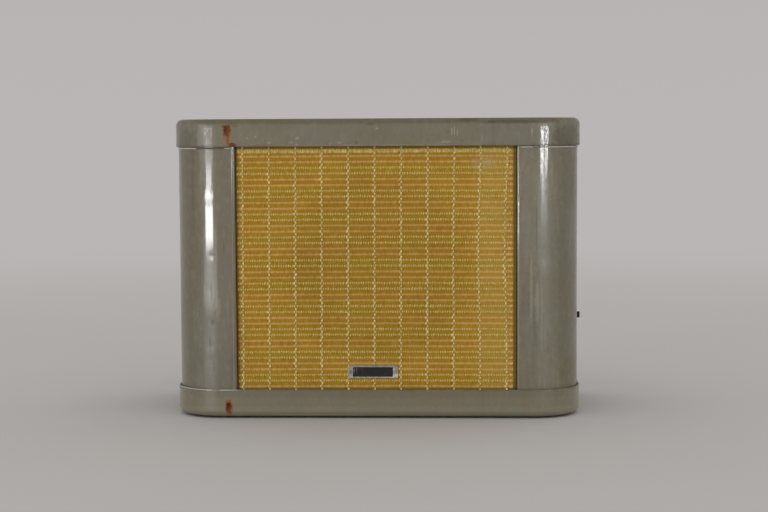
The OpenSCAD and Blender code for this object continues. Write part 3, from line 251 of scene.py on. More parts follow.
# marks on the enamel, in millimetres: centre x, y, z, half size x, y, z, then tone and strength
marks = {
    "top_tray": [
        # the first mark darkens the whole rounded top edge as painted shade
        (0, -85, 277.6, 400, 9, 5, "grime", 0.24), (-136, -85, 262.8, 4.9, 6, 12, "rustPale", 0.55),
        (-136.8, -85, 267.2, 3.9, 6, 6.2, "rust", 0.75), (-138.4, -85, 268.5, 1.5, 6, 4, "rustDark", 0.4),
        (-135.8, -85, 259, 1.3, 6, 4, "rust", 0.5), (-137.8, -85, 271.2, 4.8, 6, 1.9, "rust", 0.6),
        (-131.8, -85, 254.2, 4.2, 6, 2, "rust", 0.85), (-129, -85, 271.5, 4.5, 6, 0.9, "rust", 0.4),
        (70.4, -85, 266, 0.8, 6, 4.6, "bare", 0.45), (72.7, -85, 266.9, 0.7, 6, 5.2, "bare", 0.55),
        (75.2, -85, 265.1, 0.7, 6, 3.4, "bare", 0.45), (64.9, -85, 256.2, 5.5, 6, 1.3, "bare", 0.4),
        (97.8, -85, 259, 0.8, 6, 4, "bare", 0.25), (143.4, -85, 265.2, 0.9, 6, 4.2, "bare", 0.5),
        (-117.8, -85, 260.2, 1, 6, 1.3, "bare", 0.4), (-110.5, -85, 261.5, 1.4, 6, 0.9, "bare", 0.35),
        (-98, -85, 256.2, 2.6, 6, 1.2, "bare", 0.36), (-71.8, -85, 260.2, 2.2, 6, 1.4, "bare", 0.5),
        (-77, -85, 256.4, 2.2, 6, 0.8, "bare", 0.35), (-72.6, -85, 254.4, 1.7, 6, 0.9, "bare", 0.45),
        (-32.9, -85, 255.8, 2.4, 6, 1, "bare", 0.42), (-41.5, -85, 255, 1.2, 6, 0.8, "bare", 0.35),
        (1.8, -85, 268.7, 1.5, 6, 1, "bare", 0.6), (-4.6, -85, 272.8, 4.5, 6, 0.9, "grime", 0.5),
        (-17.2, -85, 256.1, 1.5, 6, 1.5, "grime", 0.5), (0, -85, 253.6, 110, 6, 1, "bare", 0.18),
        (124, -85, 274.2, 27, 8, 2.2, "grime", 0.42), (84, -85, 276, 12, 8, 1.6, "grime", 0.4),
        # the two wide marks on the tray's sides are painted shade
        (-186, -50, 259, 26, 60, 15, "grime", 0.32), (186, -50, 259, 40, 60, 15, "grime", 0.5),
        (158, -80, 268, 3, 8, 5, "grime", 0.35),
    ],
    "bottom_tray": [
        (0, -85, 12, 420, 30, 20, "warm", 0.4), (-137.4, -85, 10.6, 4.6, 6, 9.2, "rustPale", 0.7),
        (-137.6, -85, 10.4, 3.6, 6, 7.6, "rustOrange", 1), (-138.1, -85, 11, 2, 6, 4.6, "rustDark", 0.85),
        # the two thin pale marks at z 26.9 are a painted highlight along the left part of the lip's top edge
        (-164, -68, 26.9, 27, 28, 0.55, "wearAndHighlight", 0.8), (-139, -83, 26.9, 13, 14, 0.55, "wearAndHighlight", 0.8),
        # the first wide band is painted shade below the seam, with some grime; the second lightens the tray towards
        # its lower edge
        (0, -85, 25, 420, 30, 6, "grime", 0.2), (0, -85, 5, 420, 30, 7, "bare", 0.16),
        (-60, -85, 3.2, 60, 6, 1.2, "bare", 0.35), (137.2, -85, 13.1, 1.8, 6, 2.6, "rustPale", 0.5),
        (-128, -85, 3, 3.5, 6, 1.4, "bare", 0.3),
    ],
    "left_side_panel": [
        # the first mark, on the outer side of the corner, is painted shade
        (-180, -66, 150, 10, 22, 170, "grime", 0.1), (-151.9, -82, 212.6, 1.5, 8, 4.4, "rustPale", 0.45),
        (-158.4, -81, 164, 0.6, 8, 6, "grime", 0.7), (-151.8, -82, 153, 4.2, 8, 1.7, "grime", 0.65),
        (-153.2, -82, 119, 0.9, 8, 9.5, "grime", 0.75), (-152, -82, 89.5, 1.9, 8, 3, "grime", 0.6),
        (-154.8, -82, 69, 1.1, 8, 10, "grime", 0.6), (-151.5, -82, 50, 1.4, 8, 6, "grime", 0.45),
        (-141, -82, 160, 0.9, 8, 6, "grime", 0.4), (-139, -82, 178, 1.6, 8, 1.1, "grime", 0.35),
        (-147, -82, 104, 2.6, 8, 14, "bare", 0.25), (-170, -70, 190, 2, 10, 30, "grime", 0.25),
    ],
    "right_side_panel": [
        # the first mark, on the outer side of the corner, is painted shade; the broad bare mark beside the cloth is
        # painted light
        (178, -66, 140, 13, 24, 170, "grime", 0.22), (143, -82, 190, 11, 10, 60, "bare", 0.12),
        (143, -82, 120, 1.3, 8, 34, "bare", 0.3), (148.5, -82, 106, 2.2, 8, 22, "bare", 0.3),
        (162, -76, 225, 1.5, 8, 18, "bare", 0.2), (152.5, -80, 96, 1, 8, 40, "bare", 0.16),
        (147.8, -82, 178, 0.8, 8, 30, "grime", 0.35), (158, -78, 70, 2, 8, 14, "grime", 0.25),
    ],
    # every mark on the seam beads is a painted highlight
    "beads": [
        (-175, -62, 251.1, 13, 40, 3, "wearAndHighlight", 0.85), (-136, -83, 251.1, 4, 10, 3, "wearAndHighlight", 0.6),
        (137, -83, 251.1, 9, 10, 3, "wearAndHighlight", 0.7), (166, -66, 251.1, 20, 45, 3, "wearAndHighlight", 0.75),
    ],
    "rear_cover": [
        (60, 82, 70, 2.6, 6, 3.2, "rust", 0.8), (-150, 82, 236, 3.4, 6, 2, "rustPale", 0.6),
        (-20, 82, 238, 9, 6, 1.6, "bare", 0.25),
    ],
}


def enamelFinish(name, seamHeights, spots, seed, bendX=None, bendHighlightFrom=0.2, pale=0.0, streaky=1.0, wearAndHighlight=0.0):
    v = enamelLook
    material, tree, shader, place = newMaterial(name, Coat_Weight=v["coat"], Coat_Roughness=v["coatRoughness"])
    at = addNode(tree, "ShaderNodeMapping", {"Vector": place["Object"], "Location": (seed, seed * 0.7, 0)}
                 ).outputs["Vector"]
    axes = axesOf(tree, place["Object"])
    wear = useGroup(tree, patina, Place=at, Scale=14.0)
    patchy = useGroup(tree, patina, Place=at, Scale=45.0)
    lines = useGroup(tree, scratches, Place=at, Scale=48.0, Amount=0.45)["Mask"]
    mottle = noiseValue(tree, stretched(tree, at, (1, 1, 0.6)), 230.0, 3, 0.6)
    streaks = noiseValue(tree, stretched(tree, at, (1, 1, 0.12)), 95.0, 4, 0.6)
    wall = rise(tree, axes["Z"], *v["wallTop"])              # streaks run down the walls, not over the top
    streaks = calc(tree, "MULTIPLY_ADD", calc(tree, "SUBTRACT", streaks, 0.5), wall, 0.5)
    base = layered(tree, mix(tree, wear["Clouds"], v["cool"], v["warm"]), v, [
        (calc(tree, "MULTIPLY", patchy["Clouds"], 0.5), "base"), (pale, "bare"),
        (rise(tree, mottle, 0.5, 0.75, 0.0, 0.13), "grime"), (rise(tree, mottle, 0.5, 0.25, 0.0, 0.13), "bare"),
        (calc(tree, "MULTIPLY", patchy["Specks"], 0.25), "grime"),
        (rise(tree, streaks, 0.55, 0.8, 0.0, 0.3 * streaky), "bare"),
        (rise(tree, streaks, 0.45, 0.25, 0.0, 0.4 * streaky), "grime"),
    ])
    dirt = noiseValue(tree, at, 70.0, 4, 0.65)
    rough = calc(tree, "MULTIPLY_ADD", wear["Clouds"], 0.1, v["roughness"])
    dull = iron = 0.0
    for z in seamHeights:                                    # dirt gathers along the seams and dulls the gloss
        off = calc(tree, "ABSOLUTE", calc(tree, "SUBTRACT", axes["Z"], z * mm))
        near = rise(tree, off, v["seamReach"] * mm, 0.0)
        seam = calc(tree, "MULTIPLY", near, rise(tree, dirt, 0.3, 0.75))
        base = mix(tree, calc(tree, "MULTIPLY", seam, 0.55), base, v["grime"])
        rough = calc(tree, "MULTIPLY_ADD", seam, 0.25, rough)
        dull = calc(tree, "MULTIPLY_ADD", near, 0.6, dull)
    base = mix(tree, calc(tree, "MULTIPLY", lines, 0.7), base, v["bare"])
    coat = calc(tree, "SUBTRACT", v["coat"], calc(tree, "MULTIPLY", wear["Clouds"], 0.12))
    strands = noiseValue(tree, stretched(tree, at, (1, 1, 0.3)), 620.0, 2, 0.6)  # where the gloss has worn off
    coat = calc(tree, "MULTIPLY", coat, rise(tree, strands, 0.42, 0.56, 1.0, 1.0 - wearAndHighlight))
    if bendX is not None:                                    # painted highlight along the sheet's bend beside the cloth, strong above a given height and faint below
        off = calc(tree, "ABSOLUTE", calc(tree, "SUBTRACT", axes["X"], bendX * mm))
        ragged = calc(tree, "MULTIPLY_ADD", noiseValue(tree, stretched(tree, at, (1, 1, 0.2)), 500.0), 0.0006, off)
        bendHighlight = calc(tree, "MULTIPLY", rise(tree, ragged, *(reach * mm for reach in v["bendHighlightReach"])),
                      rise(tree, axes["Z"], bendHighlightFrom, bendHighlightFrom + v["bendHighlightFade"], 0.15, 0.95))
        base = mix(tree, bendHighlight, base, v["wearAndHighlight"])
    for x, y, z, wide, deep, tall, tone, strength in spots:
        mask = useGroup(tree, spot, Place=place["Object"], Centre=(x * mm, y * mm, z * mm),
                        Size=(wide * mm, deep * mm, tall * mm), Ragged=0.4)["Mask"]
        mask = calc(tree, "MULTIPLY", mask, strength)
        base = mix(tree, mask, base, v[tone])
        if tone.startswith("rust"):                          # rust has no gloss, and some of the metal's own sheen
            rough = calc(tree, "MULTIPLY_ADD", mask, 0.4, rough)
            coat = calc(tree, "MULTIPLY", coat, calc(tree, "SUBTRACT", 1.0, mask))
            iron = calc(tree, "MAXIMUM", iron, calc(tree, "MULTIPLY", mask, 0.6))
    plug(tree, shader.inputs["Coat Weight"], calc(tree, "MULTIPLY", coat, calc(tree, "SUBTRACT", 1.0, dull)))
    plug(tree, shader.inputs["Metallic"], iron)
    waves = noiseValue(tree, stretched(tree, at, (1, 1, 0.35)), 60.0, 2, 0.4)
    skinned = calc(tree, "ADD", calc(tree, "MULTIPLY", noiseValue(tree, at, 480.0, 2), 0.26), waves)
    skinned = calc(tree, "SUBTRACT", skinned, calc(tree, "MULTIPLY", lines, 0.3))
    surface(tree, shader, base, rough, skinned, v["relief"])
    return material


print("materials: shared groups and finish values are ready")


def newObject(name, mesh, material=None):
    thing = bpy.data.objects.new(name, mesh)
    scene.collection.objects.link(thing)
    if material:
        mesh.materials.append(material)
    return thing


# loops of points joined into a skin, where edges that turn more than this stay hard
hardAngle = math.radians(35)


def skin(name, loops, material, closedLoop=True, closedPath=False, caps=True, thinCaps=False):
    count = len(loops[0])
    faces = []
    for i in range(len(loops) if closedPath else len(loops) - 1):
        a, b = i * count, ((i + 1) % len(loops)) * count
        for k in range(count if closedLoop else count - 1):
            j = (k + 1) % count
            faces.append((a + k, a + j, b + j, b + k))
    last = (len(loops) - 1) * count
    if thinCaps:                                             # a sheet's edge: quads across its thickness
        for k in range(count // 2 - 1):
            faces += [(n + k, n + k + 1, n + count - 2 - k, n + count - 1 - k) for n in (0, last)]
    elif caps:
        faces += [tuple(range(count)), tuple(range(last, last + count))]
    mesh = bpy.data.meshes.new(name)
    mesh.from_pydata([tuple(p) for loop in loops for p in loop], [], faces)
    edit = bmesh.new()
    edit.from_mesh(mesh)
    bmesh.ops.remove_doubles(edit, verts=edit.verts, dist=1e-7)
    bmesh.ops.recalc_face_normals(edit, faces=edit.faces)
    for face in edit.faces:
        face.smooth = True
    for edge in edit.edges:
        if len(edge.link_faces) == 2 and edge.calc_face_angle(0) > hardAngle:
            edge.smooth = False
    edit.to_mesh(mesh)
    edit.free()
    return newObject(name, mesh, material)


def boxOf(node):                                             # a node's box in millimetres
    return [[n / mm for n in corner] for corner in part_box(node)]


def swept(start, end, count):                                # angles in equal steps, both ends included
    return [start + (end - start) * k / count for k in range(count + 1)]


def arc(cx, cy, r, start, end, count):
    return [(cx + r * math.cos(t), cy + r * math.sin(t)) for t in map(math.radians, swept(start, end, count))]


def line(a, b, count):
    return [(a[0] + (b[0] - a[0]) * k / count, a[1] + (b[1] - a[1]) * k / count) for k in range(1, count)]


def keep(thing, body, slot, *nodes):
    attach(thing, body)
    if nodes:
        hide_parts(*nodes)
    return thing


# pressed trays: the same outline at every step of the wall's profile
trayShape = {"frontCorner": 44.0, "rearCorner": 8.0, "edge": 6.0, "sheet": 1.5, "lipRound": 0.4, "coverInset": 7.6,
             "coverMeets": 0.2, "ripple": 0.16, "waves": (22, 22, 30), "bottomShift": 7, "spared": 0.35,
             "rippledInset": 5}


def trayOutline(low, high, inset):
    x, front, rear = high[0] / mm - inset, low[1] / mm + inset, high[1] / mm - inset
    rf = trayShape["frontCorner"] - inset
    rr = max(trayShape["rearCorner"] - inset, 0.3)
    side = arc(x - rf, front + rf, rf, -90, 0, 26)
    side += line((x, front + rf), (x, rear - rr), 24)
    side += arc(x - rr, rear - rr, rr, 0, 90, 8)
    backward = [(-px, py) for px, py in reversed(side)]
    return side + line((x - rr, rear), (rr - x, rear), 60) + backward + line((rf - x, front), (x - rf, front), 60)


def trayProfile(height):                                     # inset and height: inner wall, lip, outer wall
    v = trayShape
    t, e, r = v["sheet"], v["edge"], v["lipRound"]
    flat = e + v["coverMeets"]
    inner = [(v["coverInset"], height - t), (flat, height - t)]
    inner += [(e - (e - t) * math.sin(a), height - e + (e - t) * math.cos(a)) for a in swept(0, math.pi / 2, 6)]
    inner += [(t, height * k / 6) for k in range(4, 0, -1)]
    lip = [(t, r)] + [(t - r + r * math.cos(a), r - r * math.sin(a)) for a in (0.5, 1.05, 1.571)]
    lip += [(r - r * math.sin(a), r - r * math.cos(a)) for a in (0.0, 0.52, 1.05, 1.571)]
    outer = [(0.0, 0.9), (0.0, 2.0)] + [(0.0, height * k / 8) for k in range(1, 6)]
    outer += [(e - e * math.cos(a), height - e + e * math.sin(a)) for a in swept(0, math.pi / 2, 12)]
    return inner + lip + outer + [(flat, height), (v["coverInset"], height)]


def makeTray(node, flip, material):
    v = trayShape
    low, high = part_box(node)
    shifted = Vector((0, 0, v["bottomShift"] if flip else 0))
    loops = []
    for inset, up in trayProfile((high[2] - low[2]) / mm):
        z = high[2] - up * mm if flip else low[2] + up * mm
        ring = []
        for x, y in trayOutline(low, high, inset):
            p = Vector((x * mm, y * mm, z))
            wave = noise.noise(p * Vector(v["waves"]) + shifted) - v["spared"]
            push = Vector((p.x * 0.25, p.y, 0)).normalized() * v["ripple"] * mm * min(wave, 0)
            ring.append(p + push if inset < v["rippledInset"] else p)
        loops.append(ring)
    keep(skin(node + "_shell", loops, material), "cabinet", "enamel", node)


makeTray("top_tray", False,
         enamelFinish("enamelTopTray", (252.4,), marks["top_tray"], seed=0.0, pale=0.12, streaky=0.6, wearAndHighlight=0.7))
makeTray("bottom_tray", True,
         enamelFinish("enamelBottomTray", (27.1,), marks["bottom_tray"], seed=0.4, pale=0.28, streaky=0.4))
print("trays: two pressed shells")

# side panels: a plan section carried up between the trays
panelShape = {"corner": 41.8, "bend": 2.3, "sheet": 1.2, "foldDepth": 16.0, "windowX": 130.0, "rearFlange": 15.0,
              "ripple": 0.22, "trayOverlap": 4.5, "levels": 120, "cornerCentre": (146, -41), "flatFrontY": -75,
              "frontHalfY": -60, "stiffFrom": (134, 78), "stiffOver": 8}     # no ripple beside cloth and rear cover
dents = {  # place and reach in millimetres, depth
    "left_side_panel": [((-153, -80, 205), 6, 0.1), ((-155, -79, 120), 5, 0.14), ((-156, -79, 80), 12, 0.25),
                        ((-152, -81, 90), 3.2, 0.14), ((-155, -80, 68), 4.5, 0.18), ((-151, -81, 54), 4, 0.16),
                        ((-151, -81, 152), 3.0, 0.08), ((-170, -70, 60), 20, 0.3), ((-187, 10, 150), 30, 0.35)],
    "right_side_panel": [((155, -80, 150), 9, 0.25), ((150, -81, 90), 14, 0.25), ((175, -66, 110), 18, 0.3),
                         ((187, 0, 190), 28, 0.35)],
}


def panelSection(x, front, rear):
    v = panelShape
    rc, rb, wx, fold = v["corner"], v["bend"], v["windowX"], front + v["foldDepth"]

    def path(d):                                            # d is 0 on the outside and the sheet inside
        p = [(x - v["rearFlange"], rear - d), (x - v["rearFlange"] * 0.6, rear - d)]
        p += arc(x - rb, rear - rb, rb - d, 90, 0, 8)
        p += line((x - d, rear - rb), (x - d, front + rc), 26)
        p += arc(x - rc, front + rc, rc - d, 0, -90, 36)
        p += line((x - rc, front + d), (wx + rb, front + d), 5)
        p += arc(wx + rb, front + rb, rb - d, -90, -180, 10)
        return p + line((wx + d, front + rb), (wx + d, fold), 4) + [(wx + d, fold)]

    return path(0.0) + path(v["sheet"])[::-1]


def makePanel(node, side, material):
    v = panelShape
    low, high = boxOf(node)
    section = panelSection(max(abs(low[0]), abs(high[0])), low[1], high[1])
    (cornerX, cornerY), (stiffX, stiffY) = v["cornerCentre"], v["stiffFrom"]
    loops = []
    for z in swept(low[2] + v["trayOverlap"], high[2] - v["trayOverlap"], v["levels"]):
        ring = []
        for px, py in section:
            p = Vector((px * side, py, z))
            outward = Vector((0, -1, 0)) if py < v["flatFrontY"] else Vector((side, 0, 0))
            if py < cornerY and px > cornerX:
                outward = Vector(((px - cornerX) * side, py - cornerY, 0))
            sink = v["ripple"] * (0.3 + 0.5 * noise.noise(p * 0.018))
            for place, reach, depth in dents[node]:
                away = (p - Vector(place)).length / reach
                sink += depth * math.exp(-away * away)
            edge = min(1.0, max(0.0, (px - stiffX) / v["stiffOver"])) if py < v["frontHalfY"] else 1.0
            edge *= min(1.0, max(0.0, (stiffY - py) / v["stiffOver"]))
            ring.append((p - outward.normalized() * max(sink, 0) * edge) * mm)
        loops.append(ring)
    keep(skin(node + "_shell", loops, material, thinCaps=True), "cabinet", "enamel", node)


makePanel("left_side_panel", -1,
          enamelFinish("enamelLeftPanel", (27.1,), marks["left_side_panel"], seed=0.9, bendX=-132.9,
                       bendHighlightFrom=0.195))
# the right panel's enamel is made paler overall as painted light
makePanel("right_side_panel", 1,
          enamelFinish("enamelRightPanel", (27.1,), marks["right_side_panel"], seed=1.7, bendX=130.8,
                       bendHighlightFrom=0.135, pale=0.1, wearAndHighlight=0.5))
print("side panels: two bent sheets")

# paint bead along the top seam of each side panel
seamBead = {"z": 251.1, "radius": 0.65, "sides": 8, "out": 0.25, "wave": 0.12, "endX": 133, "rearGap": 2}


def makeBead(name, side, material):
    v = seamBead
    low, high = boxOf("right_side_panel")
    x, front, rear, r = high[0], low[1], high[1] - v["rearGap"], panelShape["corner"]
    path = [(x, rear - (rear - front - r) * k / 20, 1.0, 0.0) for k in range(20)]
    path += [(x - r + r * math.cos(a), front + r + r * math.sin(a), math.cos(a), math.sin(a))
             for a in swept(0, -math.pi / 2, 30)]
    path += [(x - r - (x - r - v["endX"]) * k / 4, front, 0.0, -1.0) for k in range(1, 5)]
    loops = []
    for px, py, nx, ny in path:
        out = v["out"] + v["wave"] * noise.noise(Vector((px * 0.3, py * 0.3, side * 5)))
        ring = []
        for t in swept(0, 2 * math.pi, v["sides"])[:-1]:
            off = out + v["radius"] * math.cos(t)
            ring.append(Vector(((px + nx * off) * side, py + ny * off, v["z"] + v["radius"] * math.sin(t))) * mm)
        loops.append(ring)
    keep(skin(name, loops, material), "cabinet", "enamel")


beadEnamel = enamelFinish("enamelBeads", (), marks["beads"], seed=1.3)
makeBead("left_seam_bead", -1, beadEnamel)
makeBead("right_seam_bead", 1, beadEnamel)

# ribbed grille cloth, all sizes in millimetres
clothLook = {
    "topLine": 248.4, "pitch": 5.35, "lines": 42, "bow": 0.5, "lineWidth": 1.1, "lineHeight": 0.34,
    "bandHeight": 0.16, "middleZ": 139.75, "halfWidth": 128,
    "thickness": 0.6, "edgeRound": 0.9, "columns": 84, "rowStep": 0.72, "halfWindow": 129.9, "settled": 0.34,
    "golden": "#ac8117", "orange": "#ae7d22", "olive": "#a98912", "pale": "#c4a553", "pink": "#d0a964",
    "cord": "#dcc478", "topRowLight": "#f2da92", "shade": "#6a4e0c", "edgeShade": "#6a5426", "faded": "#a89d86",
    "cordPitch": 24.47, "firstCord": -124.3, "cords": 11, "lean": 0.005, "zigzag": 0.62, "cordRadius": 0.5,
    "pull": {"fromX": 60, "over": 40, "most": 2.5, "z": 160, "reach": 60},
    "cellShift": 0.32, "dashStep": 2.15, "dashes": (-128.0, 125.0), "seed": 11,
    "dash": (1.1, 0.95, 3.0), "bead": (2.0, 1.35, 3.1), "end": (2.3, 1.7, 3.3),   # width, depth, height
    "endPlaces": ((123.8, 125.3), (120.6, 122.3, 123.9, 125.3)),   # beside the yellow and beside the pink lines
}


def clothDrift(x, z):                                        # the ribs sit a little off between two cords
    v = clothLook
    cell = math.floor((x - v["firstCord"]) / v["cordPitch"])
    shift = v["cellShift"] * noise.noise(Vector((cell * 3.7, z * 0.03, 0.5)))
    return v["bow"] * (1 - (x / v["halfWidth"]) ** 2) + shift


def lineHeightAt(x, k):
    z = clothLook["topLine"] - clothLook["pitch"] * k
    return z + clothDrift(x, z)


def lineNumberAt(x, z):
    return (clothLook["topLine"] + clothDrift(x, z) - z) / clothLook["pitch"]


def reliefAt(x, z):
    v = clothLook
    k = lineNumberAt(x, z)
    away = abs(k - round(k)) * v["pitch"]
    ridge = math.exp(-(away / v["lineWidth"]) ** 2 * 1.6) * v["lineHeight"]
    return ridge + v["bandHeight"] * 0.5 * (1 + math.cos(2 * math.pi * (k - 0.5))) + 0.06 * noise.noise(
        Vector((x * 0.35, z * 0.06, 3)))


def clothMaterial():
    v = clothLook
    material, tree, shader, place = newMaterial("ribbedGoldCloth", Sheen_Weight=0.03, Sheen_Roughness=0.5,
                                               Specular_IOR_Level=0.12)
    uv = addNode(tree, "ShaderNodeUVMap", uv_map="ribs").outputs["UV"]
    across, along = (axesOf(tree, uv)[k] for k in ("X", "Y"))  # both in line pitches, 0 at the top line

    def woven(scale, detail, roughness=0.55):                # noise that follows the threads
        return noiseValue(tree, stretched(tree, uv, scale), 1.0, detail, roughness)

    nearest = calc(tree, "ROUND", along)
    away = calc(tree, "ABSOLUTE", calc(tree, "SUBTRACT", along, nearest))
    onLine = rise(tree, calc(tree, "MULTIPLY_ADD", woven((9, 2, 1), 2), 0.1, away), 0.3, 0.155)
    yellow = calc(tree, "LESS_THAN", calc(tree, "FLOORED_MODULO", calc(tree, "ADD", nearest, 1.0), 4.0), 1.5)
    band = calc(tree, "FLOORED_MODULO", calc(tree, "FLOOR", along), 4.0)
    threads, slubs, fuzz = woven((4.5, 0.7, 1), 4, 0.8), woven((2.2, 11, 1), 3, 0.6), woven((6, 7, 1), 2, 0.7)
    clouds = noiseValue(tree, place["Object"], 26.0, 3)
    # each stretch of a band between two cords has its own share of orange or olive
    cell = calc(tree, "FLOOR", calc(tree, "MULTIPLY_ADD", across, v["pitch"] / v["cordPitch"], 0.1))
    dye = addNode(tree, "ShaderNodeTexWhiteNoise", {"Vector": joined(tree, X=cell, Y=calc(tree, "FLOOR", along))},
                  noise_dimensions="3D").outputs["Value"]
    dye = calc(tree, "MULTIPLY_ADD", calc(tree, "SUBTRACT", woven((0.25, 0.9, 1), 2), 0.5), 1.2, dye)

    def share(bandNumber, low, high):
        total = calc(tree, "MULTIPLY_ADD", calc(tree, "COMPARE", band, bandNumber, 0.4), 0.45,
                     rise(tree, dye, low, high, 0.0, 0.75))
        return calc(tree, "MINIMUM", total, 1.0)

    ground = layered(tree, v["golden"], v, [
        (share(1.0, 0.62, 1.2), "orange"), (share(3.0, 0.38, -0.1), "olive"),
        (rise(tree, threads, 0.45, 0.7, 0.0, 0.4), "shade"), (rise(tree, threads, 0.48, 0.3, 0.0, 0.3), "cord")])
    paleLine = mix(tree, rise(tree, threads, 0.36, 0.62, 0.0, 0.9), v["pale"], v["golden"])
    pinkLine = mix(tree, rise(tree, threads, 0.38, 0.66, 0.0, 0.85), v["pink"], v["orange"])
    # darker over the loudspeaker's opening: painted shade where it shows faintly through the cloth, with some dust;
    # one pale patch is faded
    flatPlace = vectorCalc(tree, "MULTIPLY", place["Object"], (1, 0, 1))
    fromHole = vectorCalc(tree, "LENGTH", vectorCalc(tree, "SUBTRACT", flatPlace, (0, 0, v["middleZ"] * mm)))
    fromHole = calc(tree, "MULTIPLY_ADD", clouds, 0.012, fromHole)
    faded = useGroup(tree, spot, Place=place["Object"], Centre=(0.1, -0.0788, 0.236),
                     Size=(0.012, 0.02, 0.006), Ragged=0.8)["Mask"]
    side, height = (axesOf(tree, place["Object"])[k] for k in ("X", "Z"))
    # painted light along the top row of ribs, broken by the threads
    topRow = calc(tree, "MULTIPLY", rise(tree, height, 0.2458, 0.2474), rise(tree, height, 0.2508, 0.2493))
    topRow = calc(tree, "MULTIPLY", topRow, rise(tree, woven((2.6, 0.5, 1), 2, 0.7), 0.36, 0.62, 0.15, 0.95))
    base = layered(tree, mix(tree, onLine, ground, mix(tree, yellow, pinkLine, paleLine)), v, [
        (rise(tree, slubs, 0.56, 0.76, 0.0, 0.38), "shade"), (rise(tree, fuzz, 0.56, 0.72, 0.0, 0.35), "cord"),
        (rise(tree, fuzz, 0.42, 0.28, 0.0, 0.4), "shade"), (rise(tree, clouds, 0.4, 0.75, 0.0, 0.15), "shade"),
        (rise(tree, fromHole, 0.104, 0.08, 0.0, 0.17), "shade"), (calc(tree, "MULTIPLY", faded, 0.35), "faded"),
        # the right-hand part of the cloth is lightened, and the top row gets painted light
        (rise(tree, side, 0.086, 0.1, 0.0, 0.12), "cord"), (topRow, "topRowLight"),
        (rise(tree, height, 0.2494, 0.2508, 0.0, 0.35), "edgeShade"),    # darker along all four edges: painted shade in the recess, with some soiling
        (rise(tree, height, 0.029, 0.0272, 0.0, 0.6), "edgeShade"),
        (rise(tree, side, -0.1268, -0.1285, 0.0, 0.8), "edgeShade"),
        (rise(tree, side, 0.1256, 0.1272, 0.0, 0.8), "edgeShade")])
    surface(tree, shader, base, calc(tree, "MULTIPLY_ADD", threads, 0.2, 0.68),
            calc(tree, "MULTIPLY_ADD", slubs, 0.5, threads), 0.22, 0.9)
    return material


def makeCloth(material):
    v = clothLook
    (x0, front, z0), (x1, back, z1) = boxOf("grille_cloth")
    face, r = front + v["settled"], v["edgeRound"]
    midX, midZ = (x0 + x1) / 2, (z0 + z1) / 2

    # distances from the middle out over the rounded edge and back along the wrap
    def over(half, end):
        bend = [(half - r + r * math.sin(a), r - r * math.cos(a), 1) for a in (0.3, 0.6, 0.9, 1.2, 1.5708)]
        return bend + [(half + (end - half) * k / 4, r + (back - face - r) * k / 4, 2) for k in range(1, 5)]

    def strip(half, end, step):
        flats = [(place, 0.0, 0) for place in swept(r - half, half - r, max(2, round((half - r) * 2 / step)))]
        return [(-a, b, c) for a, b, c in reversed(over(half, end))] + flats + over(half, end)

    columns = strip(v["halfWindow"], (x1 - x0) / 2, (x1 - x0) / v["columns"])
    rows = strip((z1 - z0) / 2, (z1 - z0) / 2, v["rowStep"])
    points, index, places = [], {}, []
    for j, (dz, backZ, kindZ) in enumerate(rows):
        for i, (dx, backX, kindX) in enumerate(columns):
            if kindX == 2 and kindZ == 2:                    # the wrap is cut out at the corners
                continue
            x, z = midX + dx, midZ + dz
            behind = max(backX, backZ)
            lift = reliefAt(x, z) * max(0.0, 1 - behind / r)
            index[i, j] = len(points)
            points.append(Vector((x, face + behind - lift, z)) * mm)
            places.append(((x + (behind if kindX else 0) * (1 if dx > 0 else -1)) / v["pitch"],
                           lineNumberAt(x, z + (behind if kindZ else 0) * (1 if dz > 0 else -1))))
    cells = [[(i, j), (i + 1, j), (i + 1, j + 1), (i, j + 1)]
             for j in range(len(rows) - 1) for i in range(len(columns) - 1)]
    mesh = pointMesh("ribbed_cloth", points, (), [[index[c] for c in cell] for cell in cells
                                                  if all(c in index for c in cell)])
    layer = mesh.uv_layers.new(name="ribs")
    for loop in mesh.loops:
        layer.data[loop.index].uv = places[loop.vertex_index]
    for polygon in mesh.polygons:
        polygon.use_smooth = True
    thing = newObject("ribbed_cloth", mesh, material)
    wall = thing.modifiers.new("thickness", "SOLIDIFY")
    wall.thickness, wall.offset = v["thickness"] * mm, -1
    return keep(thing, "cabinet", "cloth", "grille_cloth")


# Geometry Nodes trees for what repeats
def geo(tree, kind, inputs, **settings):
    return addNode(tree, "GeometryNode" + kind, inputs, **settings).outputs[0]


def moved(tree, thing, **how):
    return geo(tree, "Transform", {"Geometry": thing, **how})


def growthTree(name, inputs):
    return newTree("GeometryNodeTree", name, {"Geometry": "Geometry", **inputs, "Material": "Material"},
                   {"Geometry": "Geometry"})


def endTree(tree, get, put, geometry, smooth=True):
    shade = geo(tree, "SetShadeSmooth", {0: geo(tree, "RealizeInstances", {"Geometry": geometry}),
                                         "Shade Smooth": smooth})
    plug(tree, put[0], geo(tree, "SetMaterial", {"Geometry": shade, "Material": get["Material"]}))
    return tree


def scattered(tree, get, instance, turn, sizes=None):        # one piece on every point, each turned its own way
    turns = addNode(tree, "FunctionNodeRandomValue", {"Min": turn[0], "Max": turn[1], "Seed": get["Seed"]})
    turned = addNode(tree, "FunctionNodeAxisAngleToRotation", {"Axis": (0, 1, 0), "Angle": turns.outputs["Value"]})
    how = {"Points": get["Geometry"], "Instance": instance, "Rotation": turned.outputs[0]}
    if sizes:
        how["Scale"] = addNode(tree, "FunctionNodeRandomValue", {"Min": sizes[0], "Max": sizes[1],
                                                                 "Seed": get["Seed"]}).outputs["Value"]
    return geo(tree, "InstanceOnPoints", how)


def pointMesh(name, points, edges=(), faces=()):
    mesh = bpy.data.meshes.new(name)
    mesh.from_pydata([tuple(p) for p in points], list(edges), faces)
    return mesh


